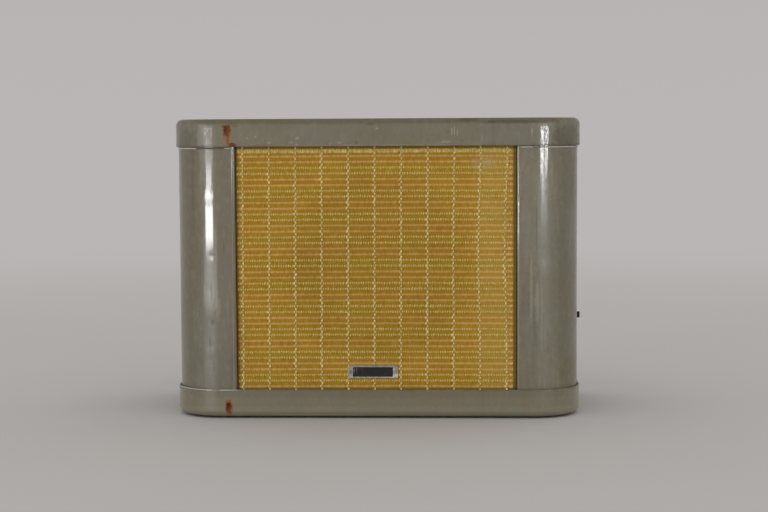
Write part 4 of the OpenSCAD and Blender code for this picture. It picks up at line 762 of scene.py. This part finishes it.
def grow(name, base, tree, values):
    source = newObject(name + "_source", base)
    modifier = source.modifiers.new("build", "NODES")
    modifier.node_group = tree
    for item in tree.interface.items_tree:
        if item.in_out == "INPUT" and item.name in values:
            modifier[item.identifier] = values[item.name]
    mesh = bpy.data.meshes.new_from_object(source.evaluated_get(bpy.context.evaluated_depsgraph_get()))
    mesh.name = name
    source.modifiers.clear()
    bpy.data.objects.remove(source)
    return newObject(name, mesh)


def stitchTree():
    tree, get, put = growthTree("stitches", {"Width": ("Float", 0.0006), "Depth": ("Float", 0.0005),
                                             "Height": ("Float", 0.0015), "Seed": ("Int", 3)})
    bead = geo(tree, "MeshUVSphere", {"Segments": 6, "Rings": 4, "Radius": 0.5})
    shaped = moved(tree, bead, Scale=joined(tree, X=get["Width"], Y=get["Depth"], Z=get["Height"]))
    return endTree(tree, get, put, scattered(tree, get, shaped, (-0.22, 0.22), (0.75, 1.15)))


def cordTree():
    tree, get, put = growthTree("laidCords", {"Radius": ("Float", 0.0004), "Sides": ("Int", 6),
                                              "Beading": ("Float", 0.3)})
    curve = geo(tree, "MeshToCurve", {"Mesh": get["Geometry"]})
    profile = geo(tree, "CurvePrimitiveCircle", {"Resolution": get["Sides"], "Radius": get["Radius"]})
    index = tree.nodes.new("GeometryNodeInputIndex").outputs[0]
    wave = calc(tree, "SINE", calc(tree, "MULTIPLY", index, math.pi / 2))
    scale = calc(tree, "MULTIPLY_ADD", calc(tree, "ABSOLUTE", wave), get["Beading"], 0.8)
    return endTree(tree, get, put, geo(tree, "CurveToMesh", {"Curve": curve, "Profile Curve": profile,
                                                             "Scale": scale, "Fill Caps": True}))


# threads, braids and paper: a grain in two tones, clouded by the dark one
def fibrousMaterial(name, light, dark, grainOf, tones, clouds, rough, depth, strength=1.0, inverted=False,
                    **fixed):
    material, tree, shader, place = newMaterial(name, **fixed)
    grain = grainOf(tree, place["Object"])
    cloudScale, cloudDetail, cloudLow, cloudShare = clouds
    cloudy = rise(tree, noiseValue(tree, place["Object"], cloudScale, cloudDetail), cloudLow, 0.75, 0, cloudShare)
    base = mix(tree, cloudy, mix(tree, rise(tree, grain, *tones), light, dark), dark)
    surface(tree, shader, base, calc(tree, "MULTIPLY_ADD", grain, *rough),
            calc(tree, "SUBTRACT", 1.0, grain) if inverted else grain, depth, strength)
    return material


def threadMaterial(name, light, dark):
    def twist(tree, at):
        return noiseValue(tree, stretched(tree, at, (1, 1, 0.5)), 900.0, 3, 0.6)

    return fibrousMaterial(name, light, dark, twist, tones=(0.35, 0.68), clouds=(30.0, 2, 0.4, 0.35),
                           rough=(0.2, 0.62), depth=0.15, strength=0.7, Sheen_Weight=0.05, Specular_IOR_Level=0.2)


def cordAt(i, z):
    v, pull = clothLook, clothLook["pull"]
    x = v["firstCord"] + v["cordPitch"] * i + v["lean"] * (z - v["middleZ"])
    if x > pull["fromX"]:                                    # the right-hand cords are pulled inwards
        near = math.exp(-((z - pull["z"]) / pull["reach"]) ** 2)
        x -= pull["most"] * near * min(1, (x - pull["fromX"]) / pull["over"])
    return x


def threadPlaces(i, step, perLine, sideways, rng):           # a cord's zigzag, in steps of a share of a line's pitch
    v = clothLook
    k = step / perLine
    z = lineHeightAt(cordAt(i, 140), k)
    return k, z, cordAt(i, z) - v["zigzag"] * math.cos(2 * math.pi * k) + rng.uniform(-sideways, sideways)


def makeCords(material):
    v = clothLook
    front = boxOf("grille_cloth")[0][1]
    points, edges = [], []
    rng = random.Random(v["seed"])
    for i in range(v["cords"]):
        start = len(points)
        for step in range(-3, 4 * v["lines"] + 8):
            k, z, x = threadPlaces(i, step, 4, 0.12, rng)
            near = abs(k - round(k)) * v["pitch"]
            points.append(Vector((x, front - 0.02 - 0.3 * math.exp(-near * near * 1.2), z)) * mm)
            if len(points) - 1 > start:
                edges.append((len(points) - 2, len(points) - 1))
    thing = grow("warp_cords", pointMesh("cordPaths", points, edges), cordTree(),
                 {"Radius": v["cordRadius"] * mm, "Sides": 6, "Beading": 0.35, "Material": material})
    return keep(thing, "cabinet", "cloth")


def beadPlaces(front, rng):
    v = clothLook
    for i in range(v["cords"]):
        for step in range(-1, 2 * v["lines"] + 3):
            _, z, x = threadPlaces(i, step, 2, 0.15, rng)
            yield x, front - 0.12, z + rng.uniform(-0.15, 0.15)


def dashPlaces(front, rng):                                  # along the yellow lines only
    v = clothLook
    for k in range(v["lines"]):
        x = v["dashes"][0]
        while k % 4 in (0, 3) and x < v["dashes"][1]:
            z = lineHeightAt(x, k) + rng.uniform(-0.12, 0.12)
            yield x, front + 0.02 + rng.uniform(-0.03, 0.03), z
            x += v["dashStep"] * rng.uniform(0.82, 1.18)


def endPlaces(front, rng):                                   # each rib ends in a loop beside the right panel
    v = clothLook
    for k in range(v["lines"] + 1):
        for x in v["endPlaces"][k % 4 in (1, 2)]:
            yield x + rng.uniform(-0.3, 0.3), front - 0.02, lineHeightAt(x, k) + rng.uniform(-0.15, 0.15)


def makeStitches(name, placesOf, size, placeSeed, treeSeed, material):
    seed = clothLook["seed"]
    places = placesOf(boxOf("grille_cloth")[0][1], random.Random(seed + placeSeed))
    values = {key: n * mm for key, n in zip(("Width", "Depth", "Height"), clothLook[size])}
    thing = grow(name, pointMesh(name + "Places", [Vector(p) * mm for p in places]), stitches,
                 {**values, "Seed": seed + treeSeed, "Material": material})
    return keep(thing, "cabinet", "cloth")


stitches = stitchTree()
cloth = makeCloth(clothMaterial())
paleCord = threadMaterial("paleCord", "#f2dd9c", "#c4a456")
laid = [
    makeCords(threadMaterial("cordCore", "#d6bb6a", "#a3873c")),
    makeStitches("cord_beads", beadPlaces, "bead", 2, 3, paleCord),
    makeStitches("rib_ends", endPlaces, "end", 4, 5, threadMaterial("ribEnd", "#e3b874", "#bb9150")),
    makeStitches("rib_stitches", dashPlaces, "dash", 1, 0, threadMaterial("paleStitch", "#e2c980", "#b99d50")),
]
print("grille cloth: ribs, warp cords and stitches")

# blank plate: a dark sunk field between plain ends
plateLook = {"rim": 1.0, "rimRound": 0.3, "sink": 0.3, "corner": 1.6, "darkHalf": (18.6, 4.4), "darkFade": 0.15,
             "metal": "#bdbab0", "metalDark": "#918e83", "field": "#1b1917", "fieldWear": "#3d3a34"}


def roundedRectangle(halfX, halfZ, r):
    r = max(r, 0.05)
    perCorner, perSide = 6, 8
    loop = []
    for sx, sz, start in ((1, 1, 0), (-1, 1, 90), (-1, -1, 180), (1, -1, 270)):
        loop += arc(sx * (halfX - r), sz * (halfZ - r), r, start, start + 90, perCorner)
    full = []
    for i, p in enumerate(loop):
        full.append(p)
        if (i + 1) % (perCorner + 1) == 0:
            full += line(p, loop[(i + 1) % len(loop)], perSide)
    return full


def plateMaterial():
    v = plateLook
    low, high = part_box("nameplate")
    middle = tuple((low[i] + high[i]) / 2 for i in range(3))
    material, tree, shader, place = newMaterial("wornPlate", Specular_IOR_Level=0.25)
    wear = useGroup(tree, patina, Place=place["Object"], Scale=160.0)
    lines = useGroup(tree, scratches, Place=place["Object"], Scale=120.0, Amount=0.8)["Mask"]
    away = axesOf(tree, vectorCalc(tree, "ABSOLUTE", vectorCalc(tree, "SUBTRACT", place["Object"], middle)))
    wobble = calc(tree, "MULTIPLY", calc(tree, "SUBTRACT", wear["Grain"], 0.5), 0.0004)
    inX, inZ = (rise(tree, calc(tree, "ADD", away[axis], wobble), (half + v["darkFade"]) * mm, half * mm)
                for axis, half in zip(("X", "Z"), v["darkHalf"]))
    dark = calc(tree, "MULTIPLY", calc(tree, "MULTIPLY", inX, inZ), calc(tree, "SUBTRACT", 1.0, lines))
    metal = mix(tree, wear["Clouds"], v["metal"], v["metalDark"])
    field = mix(tree, rise(tree, wear["Grain"], 0.5, 0.75), v["field"], v["fieldWear"])
    plug(tree, shader.inputs["Metallic"], calc(tree, "SUBTRACT", 0.9, calc(tree, "MULTIPLY", dark, 0.9)))
    surface(tree, shader, mix(tree, dark, metal, field), calc(tree, "MULTIPLY_ADD", wear["Clouds"], 0.2, 0.36),
            calc(tree, "SUBTRACT", wear["Grain"], lines), 0.08)
    return material


def makePlate(material):
    v = plateLook
    low, high = boxOf("nameplate")
    cx, cz = (low[0] + high[0]) / 2, (low[2] + high[2]) / 2
    hx, hz = (high[0] - low[0]) / 2, (high[2] - low[2]) / 2
    back, front, r = high[1], low[1], v["rimRound"]
    rim, sunk = v["rim"], front + v["sink"]
    steps = [(5.8, back), (0.0, back), (0.0, front + r)]
    steps += [(r - r * math.cos(a), front + r - r * math.sin(a)) for a in (0.4, 0.8, 1.2, 1.571)]
    steps += [(rim - r * 0.5, front), (rim, front + 0.08), (rim + 0.15, sunk - 0.05), (rim + 0.3, sunk),
              (3.0, sunk - 0.02), (5.8, sunk - 0.03)]
    loops = []
    for inset, y in steps:
        inset = min(inset, hz - 0.3)
        loops.append([Vector((cx + px, y, cz + pz)) * mm for px, pz in
                      roundedRectangle(hx - inset, hz - inset, max(v["corner"] - inset, 0.2))])
    keep(skin("blank_plate", loops, material), "cabinet", "plate", "nameplate")


makePlate(plateMaterial())
print("plate: blank, with a sunk field")


# turned pieces: profile of (radius, distance) about an axis
def turned(name, profile, origin, axis, material, segments=48, closed=False, wobble=0.0, seed=1.0):
    axis = Vector(axis).normalized()
    aside = axis.orthogonal().normalized()
    other = axis.cross(aside)
    loops = []
    for k in range(segments):
        t = 2 * math.pi * k / segments
        out = aside * math.cos(t) + other * math.sin(t)
        ring = []
        for r, d in profile:
            w = wobble * noise.noise(out * 2.2 + axis * d * 0.5 + Vector((seed, 0, 0))) if r > 0.01 else 0.0
            ring.append(Vector(origin) * mm + (out * (r + w) + axis * d) * mm)
        loops.append(ring)
    return skin(name, loops, material, closedLoop=closed, closedPath=True, caps=False)


# felt feet
feet = {"radius": 9.0, "round": 0.45, "puff": 0.12, "wobble": 0.1,
        "places": [(-156, -51), (156, -51), (-156, 51), (156, 51)]}


def makeFeet(material):
    v = feet
    low, high = boxOf("felt_feet")
    base, top, r, bend = low[2], high[2], v["radius"], v["round"]
    half = (top - base) / 2
    profile = [(0.0, base)] + [(r * k, base) for k in (0.3, 0.6, 0.85)]
    profile += [(r - bend + (bend + v["puff"]) * math.sin(a), base + half - half * math.cos(a))
                for a in swept(0, math.pi, 8)]
    profile += [(r * k, top) for k in (0.85, 0.6, 0.3)] + [(0.0, top)]
    for i, (x, y) in enumerate(v["places"]):
        foot = turned("felt_foot_%d" % (i + 1), profile, (x, y, 0), (0, 0, 1), material, wobble=v["wobble"],
                      seed=i * 3.1)
        keep(foot, "cabinet", "felt", "felt_feet")


makeFeet(plainFinish("feltGrey"))

# rubber grommet of the cable inlet
grommet = {"centre": (-125.0, 51.9), "bore": 3.5, "neck": 6.0, "rim": 8.5, "rimThick": 1.5, "round": 0.6}


def makeGrommet(material):
    v = grommet
    (_, front, _), (_, back, _) = boxOf("cable_grommet")
    o, t, n, rim = v["round"], v["rimThick"], v["neck"], v["rim"]
    inner, outer, flat = v["bore"] + o, rim - o, rim - 0.1
    profile = arc(inner, back - o, o, 180, 90, 4) + arc(outer, back - o, o, 90, 0, 4)
    profile += [(flat, back - t), (n, back - t), (n, front + t), (flat, front + t)]
    profile += arc(outer, front + o, o, 0, -90, 4) + arc(inner, front + o, o, 270, 180, 4)
    x, z = v["centre"]
    rubber = turned("cable_grommet_rubber", profile, (x, 0, z), (0, 1, 0), material, closed=True)
    keep(rubber, "cabinet", "rubber", "cable_grommet")


makeGrommet(plainFinish("blackRubber"))
print("feet and grommet")

# slotted dome screws of the rear cover
coverScrew = {"headRadius": 3.6, "headHeight": 2.0, "slot": 1.0, "slotDepth": 0.9, "shank": 2.0, "shankLength": 7.0,
              "xs": (-178.3, 178.3), "y": 82.8, "zs": (41.9, 139.75, 237.6), "seed": 4}


def screwTree():
    tree, get, put = growthTree("slottedScrews", {
        "Head Radius": ("Float", 0.0036), "Head Height": ("Float", 0.002), "Slot Width": ("Float", 0.001),
        "Slot Depth": ("Float", 0.0009), "Shank Radius": ("Float", 0.002), "Shank Length": ("Float", 0.007),
        "Seed": ("Int", 4)})
    radius, height, length = get["Head Radius"], get["Head Height"], get["Shank Length"]
    squares = calc(tree, "ADD", calc(tree, "MULTIPLY", radius, radius), calc(tree, "MULTIPLY", height, height))
    ball = calc(tree, "DIVIDE", squares, calc(tree, "MULTIPLY", height, 2.0))

    def raised(thing, by):
        return moved(tree, thing, Translation=joined(tree, Z=by))

    def share(value, factor):
        return calc(tree, "MULTIPLY", value, factor)

    dome = raised(geo(tree, "MeshUVSphere", {"Segments": 48, "Rings": 40, "Radius": ball}),
                  calc(tree, "SUBTRACT", height, ball))
    cutter = geo(tree, "MeshCylinder", {"Vertices": 48, "Radius": share(radius, 1.2), "Depth": height})
    head = addNode(tree, "GeometryNodeMeshBoolean", {"Mesh 2": dome}, operation="INTERSECT", solver="EXACT")
    plug(tree, head.inputs["Mesh 2"], raised(cutter, share(height, 0.5)))
    slot = joined(tree, X=share(radius, 3.0), Y=get["Slot Width"], Z=share(get["Slot Depth"], 2.0))
    groove = raised(geo(tree, "MeshCube", {"Size": slot}), height)
    cut = geo(tree, "MeshBoolean", {"Mesh 1": head.outputs[0], "Mesh 2": groove}, operation="DIFFERENCE",
              solver="EXACT")
    shank = geo(tree, "MeshCylinder", {"Vertices": 24, "Radius": get["Shank Radius"], "Depth": length})
    whole = addNode(tree, "GeometryNodeJoinGeometry", {"Geometry": cut})
    plug(tree, whole.inputs[0], raised(shank, share(length, -0.49)))
    upright = moved(tree, whole.outputs[0], Rotation=(math.radians(-90), 0, 0))
    return endTree(tree, get, put, scattered(tree, get, upright, (0.0, 3.14)), smooth=False)


def makeScrews(material):
    v = coverScrew
    places = [Vector((x, v["y"], z)) * mm for x in v["xs"] for z in v["zs"]]
    sizes = {"Head Radius": "headRadius", "Head Height": "headHeight", "Slot Width": "slot",
             "Slot Depth": "slotDepth", "Shank Radius": "shank", "Shank Length": "shankLength"}
    screws = grow("rear_cover_dome_screws", pointMesh("screwPlaces", places), screwTree(),
                  {**{label: v[key] * mm for label, key in sizes.items()}, "Seed": v["seed"], "Material": material})
    keep(screws, "cabinet", "steel", "rear_cover_screws")


zincSteel = plainFinish("zincSteel")
makeScrews(zincSteel)
print("rear cover screws: one slotted head, repeated")

# plywood of the baffle
plywood = {"light": "#a28053", "dark": "#86653d", "pores": "#6a4b2a", "rings": 90.0, "warp": 0.02, "roughness": 0.62}


def plywoodMaterial():
    v = plywood
    material, tree, shader, place = newMaterial("bafflePlywood")
    at = stretched(tree, place["Object"], (1.0, 1.0, 0.1))
    sway = addNode(tree, "ShaderNodeTexNoise", {"Vector": at, "Scale": 14.0, "Detail": 2.0}).outputs["Color"]
    sway = vectorCalc(tree, "MULTIPLY", vectorCalc(tree, "SUBTRACT", sway, (0.5, 0.5, 0.5)), (v["warp"],) * 3)
    rings = addNode(tree, "ShaderNodeTexWave", {"Vector": vectorCalc(tree, "ADD", at, sway), "Scale": v["rings"],
                                                "Distortion": 2.5, "Detail": 2.0}, wave_type="BANDS").outputs["Fac"]
    pores = noiseValue(tree, stretched(tree, place["Object"], (1, 1, 0.06)), 900.0, 2)
    patches = rise(tree, noiseValue(tree, at, 40.0, 3), 0.3, 0.7, 0.25, 1.0)
    base = layered(tree, v["light"], v, [(calc(tree, "MULTIPLY", rings, patches), "dark"),
                                         (rise(tree, pores, 0.55, 0.75, 0, 0.6), "pores")])
    surface(tree, shader, base, calc(tree, "MULTIPLY_ADD", pores, 0.15, v["roughness"]),
            calc(tree, "MULTIPLY_ADD", rings, 0.4, calc(tree, "SUBTRACT", 1.0, pores)), 0.08)
    return material


def laminationMaterial():
    material, tree, shader, place = newMaterial("ironLaminations")
    height = axesOf(tree, place["Object"])["Z"]
    sheets = calc(tree, "SINE", calc(tree, "MULTIPLY", height, 2 * math.pi / 0.0005))
    wear = useGroup(tree, patina, Place=place["Object"], Scale=60.0)
    surface(tree, shader, mix(tree, wear["Clouds"], "#4b4744", "#5d4331"),
            calc(tree, "MULTIPLY_ADD", wear["Clouds"], 0.2, 0.45),
            calc(tree, "MULTIPLY_ADD", sheets, 0.5, wear["Grain"]), 0.1)
    return material


def copperMaterial():
    material, tree, shader, place = newMaterial("enamelledCopper", Metallic=0.85)
    wear = useGroup(tree, patina, Place=place["Object"], Scale=120.0)
    surface(tree, shader, mix(tree, wear["Clouds"], "#b5673c", "#8a4320"),
            calc(tree, "MULTIPLY_ADD", wear["Clouds"], 0.15, 0.28), wear["Grain"], 0.05)
    return material


def braidMaterial(name, light, dark):
    def weave(tree, at):
        return addNode(tree, "ShaderNodeTexVoronoi", {"Vector": at, "Scale": 1900.0}).outputs["Distance"]

    return fibrousMaterial(name, light, dark, weave, tones=(0.15, 0.65), clouds=(80.0, 3, 0.45, 0.5),
                           rough=(0.2, 0.7), depth=0.2, inverted=True, Sheen_Weight=0.1)


def paperMaterial(name, light, dark):
    def fibres(tree, at):
        return noiseValue(tree, stretched(tree, at, (1, 0.4, 1)), 700.0, 4, 0.7)

    return fibrousMaterial(name, light, dark, fibres, tones=(0.35, 0.7), clouds=(55.0, 3, 0.4, 0.4),
                           rough=(0.15, 0.78), depth=0.15, Sheen_Weight=0.05)


conePaper = paperMaterial("conePulp", "#3f3b34", "#2a2722")
fibre = paperMaterial("brownFibre", "#8a6a41", "#6b4e2c")
copper = copperMaterial()
carried = [                                                  # CAD nodes that stay: finish, softened edges in mm
    (zincSteel, {"nameplate_pins": 0.15, "baffle_brackets": 0.2, "bracket_screws": 0.2, "speaker_bolts": 0.2,
                 "speaker_nuts": 0.25, "transformer_strap": 0.2, "floor_screws": 0.2, "terminal_screws": 0.15,
                 "terminal_block_screws": 0.2, "volume_case": 0.3, "volume_washer": 0.1, "volume_nut": 0.3,
                 "lead_clips": 0.15}),
    (plainFinish("poleSteel"), {"front_pole_plate": 0.3, "back_pole_plate": 0.3, "centre_pole": 0.3}),
    (plainFinish("oldBrass"), {"speaker_tags": 0.08, "terminal_inserts": 0.15, "volume_bush": 0.15,
                               "volume_tags": 0.08}),
    (plainFinish("brownPhenolic"), {"speaker_tag_strip": 0.15, "terminal_block": 0.4, "volume_wafer": 0.1}),
    (plainFinish("basketLacquer"), {"speaker_basket": 0.3}), (plainFinish("ferriteGrey"), {"ring_magnet": 0.5}),
    (plainFinish("trackCarbon"), {"volume_track": 0}), (plainFinish("wiperBrass"), {"volume_wiper": 0.08}),
    (plainFinish("darkSteel"), {"volume_spindle": 0.2}), (plywoodMaterial(), {"baffle_board": 0.3}),
    (enamelFinish("enamelRearCover", (27.9, 251.6), marks["rear_cover"], seed=2.6, streaky=0.6),
     {"rear_cover": 0.25}),
    (paperMaterial("gasketCard", "#7c776b", "#5f5a4f"), {"speaker_gasket": 0.2}),
    (laminationMaterial(), {"transformer_core": 0.2}), (conePaper, {"paper_cone": 0, "dust_cap": 0}),
    (fibre, {"transformer_bobbin": 0.2, "voice_coil_former": 0}),
]
for material, edges in carried:
    for node, edge in edges.items():
        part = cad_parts[node]
        part.data.materials.clear()
        part.data.materials.append(material)
        if edge:
            part.modifiers.new("weld", "WELD").merge_threshold = 0.00001
            soften = part.modifiers.new("edges", "BEVEL")
            soften.width, soften.segments, soften.limit_method = edge * mm, 2, "ANGLE"
            soften.angle_limit, soften.harden_normals, soften.use_clamp_overlap = math.radians(40), False, True


# wound and soft pieces: merged copies of their solids, rounded further
def softMesh(name, node, material, levels):
    edit = bmesh.new()
    edit.from_mesh(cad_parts[node].data)
    bmesh.ops.remove_doubles(edit, verts=edit.verts, dist=0.00002)
    bmesh.ops.dissolve_degenerate(edit, edges=edit.edges, dist=1e-6)
    bmesh.ops.recalc_face_normals(edit, faces=edit.faces)
    for face in edit.faces:
        face.smooth = True
    mesh = bpy.data.meshes.new(name)
    edit.to_mesh(mesh)
    edit.free()
    thing = newObject(name, mesh, material)
    if levels:
        finer = thing.modifiers.new("finer", "SUBSURF")
        finer.levels = finer.render_levels = levels
    return thing


def softCopy(name, node, body, slot, material, levels=0):
    keep(softMesh(name, node, material, levels), body, slot, node)


for tint, node, light, dark in (("red", "line_leads", "#8a3a2e", "#5a2119"),
                                ("cream", "volume_leads", "#bfa97c", "#8d7a52"),
                                ("green", "speaker_leads", "#46543f", "#2a3426")):
    softCopy(tint + "_braided_leads", node, "cabinet", tint + "_wire", braidMaterial(tint + "Braid", light, dark), 1)
softCopy("paper_wound_coil", "transformer_winding", "cabinet", "card",
         paperMaterial("windingPaper", "#9c7b45", "#7a5c30"))
softCopy("voice_coil_turns", "voice_coil_winding", "cone", "copper", copper)
print("carried CAD nodes and soft copies have their finishes")

# pieces that bend between the cabinet and the cone, in sectors, because each bends in one direction
flexible = {
    "axisZ": 139.75, "step": 3.75,
    "surround": {"thickness": 0.5, "middle": 83.95, "roll": 3.45, "flatY": -67.45, "rimR": 93.95, "innerR": 77.6,
                 "rimFlatR": 91.0, "foot": ((0.75, 0), (0.3, 0.1), (0.06, 0.4)), "lift": 0.3,
                 "bends": (86.7, 80.8), "sectors": 24},
    "spider": {"thickness": 0.5, "hub": 13.1, "first": 16.0, "wave": 2.0, "waves": 5, "flatY": -30.45, "rimR": 38.95,
               "rimFlats": (36.5, 34.6), "hubFlat": 13.8, "bends": (33.5, 14.5), "sectors": 12},
    "tinsel": {"fixedY": -30.0, "movingY": -43.5},
}


def surroundLine():
    v = flexible["surround"]
    y, mid, roll = v["flatY"], v["middle"], v["roll"]
    outer = [(v["rimR"], y), (v["rimFlatR"], y)] + [(mid + roll + out, y + up) for out, up in v["foot"]]
    over = [(mid + roll * math.cos(a), y + v["lift"] + roll * math.sin(a)) for a in swept(0, math.pi, 24)[2:-2]]
    inner = [(2 * mid - px, py) for px, py in outer[:1:-1]]
    return outer + over + inner + [(v["innerR"], y)]


def spiderLine():
    v = flexible["spider"]
    points = [(r, v["flatY"]) for r in (v["rimR"], *v["rimFlats"])]
    for k in reversed(range(v["waves"])):
        centre, side = v["first"] + 2 * v["wave"] * k, -1 if k % 2 == 0 else 1
        points += [(centre + v["wave"] * math.cos(a), v["flatY"] + side * v["wave"] * math.sin(a))
                   for a in swept(0, math.pi, 10)[1:-1]]
    return points + [(v["hubFlat"], v["flatY"]), (v["hub"], v["flatY"])]


def thickened(points, thickness):                            # the line offset to both sides
    sides = ([], [])
    for i, p in enumerate(points):
        a, b = points[max(i - 1, 0)], points[min(i + 1, len(points) - 1)]
        along = Vector((b[0] - a[0], b[1] - a[1])).normalized() * thickness / 2
        sides[0].append((p[0] - along.y, p[1] + along.x))
        sides[1].append((p[0] + along.y, p[1] - along.x))
    return sides[0] + sides[1][::-1]


def makeFlexRing(name, kind, points, node, material):
    v, z0 = flexible[kind], flexible["axisZ"]
    profile = thickened(points, v["thickness"])
    wide = 360 / v["sectors"]
    steps = round(wide / flexible["step"])
    for k in range(v["sectors"]):
        loops = []
        for n in range(steps + 1):
            a = math.radians(wide * (k + n / steps))
            loops.append([Vector((r * math.cos(a), y, z0 + r * math.sin(a))) * mm for r, y in profile])
        sector = skin("%s_%02d" % (name, k + 1), loops, material, thinCaps=True)
        middle = math.radians(wide * (k + 0.5))
        ends = [(r * math.cos(middle) * mm, v["flatY"] * mm, (z0 + r * math.sin(middle)) * mm) for r in v["bends"]]
        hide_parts(node)
        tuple(ends[0])
        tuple(ends[1])
        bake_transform(sector)


def makeTinsel(material):
    coarse = softMesh("tinsel_coarse", "tinsel_leads", material, 1)
    mesh = bpy.data.meshes.new_from_object(coarse.evaluated_get(bpy.context.evaluated_depsgraph_get()))
    bpy.data.objects.remove(coarse)
    wires = newObject("tinsel_braids", mesh)
    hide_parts("tinsel_leads")
    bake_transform(wires)


makeFlexRing("surround_roll", "surround", surroundLine(), "speaker_surround", conePaper)
makeFlexRing("spider_waves", "spider", spiderLine(), "speaker_spider", fibre)
makeTinsel(copper)

# camera
def makeCamera():
    yaw, pitch, roll = (math.radians(studio[k]) for k in ("yaw", "pitch", "roll"))
    forward = Vector((math.sin(yaw) * math.cos(pitch), math.cos(yaw) * math.cos(pitch), -math.sin(pitch)))
    right = Vector((math.cos(yaw), -math.sin(yaw), 0))
    upward = right.cross(forward)
    sideways = right * math.cos(roll) + upward * math.sin(roll)
    upright = upward * math.cos(roll) - right * math.sin(roll)
    lens = bpy.data.cameras.new("camera")
    lens.lens, lens.sensor_width, lens.sensor_fit = studio["lens"], 36, "HORIZONTAL"
    scene.camera = newObject("camera", lens)
    scene.camera.matrix_world = Matrix.Translation(studio["cameraPlace"]) @ Matrix(
        (sideways, upright, -forward)).transposed().to_4x4()


# floor that fades into the backdrop, lamps and world
lamps = [  # name, point aimed at, azimuth from the front, distance, low and high edge, width (metres), brightness
    ("leftWindow", (-0.153, -0.082), -31.0, 1.5, 0.068, 0.150, 0.54, 26.0),
    ("leftSill", (-0.153, -0.082), -31.5, 1.5, 0.048, 0.068, 0.5, 9.0),
    ("leftUpper", (-0.153, -0.082), -31.0, 1.5, 0.15, 0.205, 0.38, 15.0),
    ("leftFade", (-0.153, -0.082), -29.5, 1.5, 0.205, 0.31, 0.55, 3.5),
    ("leftGlow", (-0.153, -0.082), -29.5, 0.85, 0.01, 0.13, 0.56, 1.75),
    ("leftBox", (0.0, -0.082), -48.0, 2.1, 0.2, 1.1, 0.9, 1.0),
    ("rightBox", (0.0, -0.082), 40.0, 2.1, 0.3, 1.1, 0.8, 0.7),
    ("rightStripA", (0.155, -0.082), 21.5, 1.5, 0.193, 0.31, 0.22, 26.0),
    ("rightStripB", (0.155, -0.082), 32.5, 1.5, 0.193, 0.31, 0.22, 21.0),
    ("rightTail", (0.155, -0.082), 24.0, 1.5, 0.15, 0.193, 0.2, 9.0),
    ("rightGlow", (0.155, -0.082), 27.0, 1.45, 0.10, 0.22, 0.36, 2.2),
]


def makeLamps():
    for name, aim, turn, far, low, high, width, bright in lamps:
        data = bpy.data.lights.new(name, "AREA")
        data.shape, data.size, data.size_y = "RECTANGLE", width, high - low
        data.energy = bright * math.pi * width * (high - low)
        a = math.radians(turn)
        away = Vector((math.sin(a), -math.cos(a), 0))
        lamp = newObject(name, data)
        lamp.matrix_world = Matrix.Translation(Vector((*aim, (low + high) / 2)) + away * far) @ away.to_track_quat(
            "Z", "Y").to_matrix().to_4x4()
        lamp.visible_camera = False
        lamp.visible_diffuse = name.endswith("Box")          # the others only show in the gloss


def seenDirectly(tree):
    path = addNode(tree, "ShaderNodeLightPath").outputs
    return calc(tree, "MAXIMUM", calc(tree, "MAXIMUM", path["Is Camera Ray"], path["Is Glossy Ray"]),
                path["Is Transmission Ray"])


def makeWorld():
    world = bpy.data.worlds.new("studio")
    scene.world = world
    world.use_nodes = True
    tree = world.node_tree
    tree.nodes.clear()
    up = axesOf(tree, addNode(tree, "ShaderNodeTexCoord").outputs["Generated"])["Z"]
    sky = mix(tree, rise(tree, up, 0.0, studio["skyTo"]), studio["backdrop"], studio["ceiling"])
    seen = addNode(tree, "ShaderNodeBackground", {"Color": sky, "Strength": 1.0})
    level = [(studio[k], studio[k], studio[k], 1) for k in ("ambient", "overhead")]
    fill = addNode(tree, "ShaderNodeBackground",
                   {"Color": mix(tree, rise(tree, up, 0.0, studio["fillTo"]), *level)})
    both = addNode(tree, "ShaderNodeMixShader", {0: seenDirectly(tree), 1: fill.outputs[0], 2: seen.outputs[0]})
    addNode(tree, "ShaderNodeOutputWorld", {"Surface": both.outputs[0]})


def makeFloor():
    material, tree, shader, place = newMaterial("paleFloor", Roughness=0.9, Specular_IOR_Level=0.0)
    away = vectorCalc(tree, "LENGTH", place["Object"])
    grain = noiseValue(tree, place["Object"], 3.0, 2)
    plug(tree, shader.inputs["Base Color"], mix(tree, grain, studio["floor"], studio["floorPale"]))
    glow = addNode(tree, "ShaderNodeEmission", {"Color": studio["backdrop"]})
    blend = addNode(tree, "ShaderNodeMixShader", {0: rise(tree, away, *studio["floorFade"]),
                                                  1: shader.outputs[0], 2: glow.outputs[0]})
    plug(tree, tree.nodes["Material Output"].inputs["Surface"], blend.outputs[0])
    rings = [(r, 0.0) for r in (0.0, *studio["floorRings"])]
    floor = turned("floor", rings, (0, 0, 0), (0, 0, 1), material, 64)


makeCamera()
makeLamps()
makeWorld()
makeFloor()
print("studio: camera, lamps, world and floor")
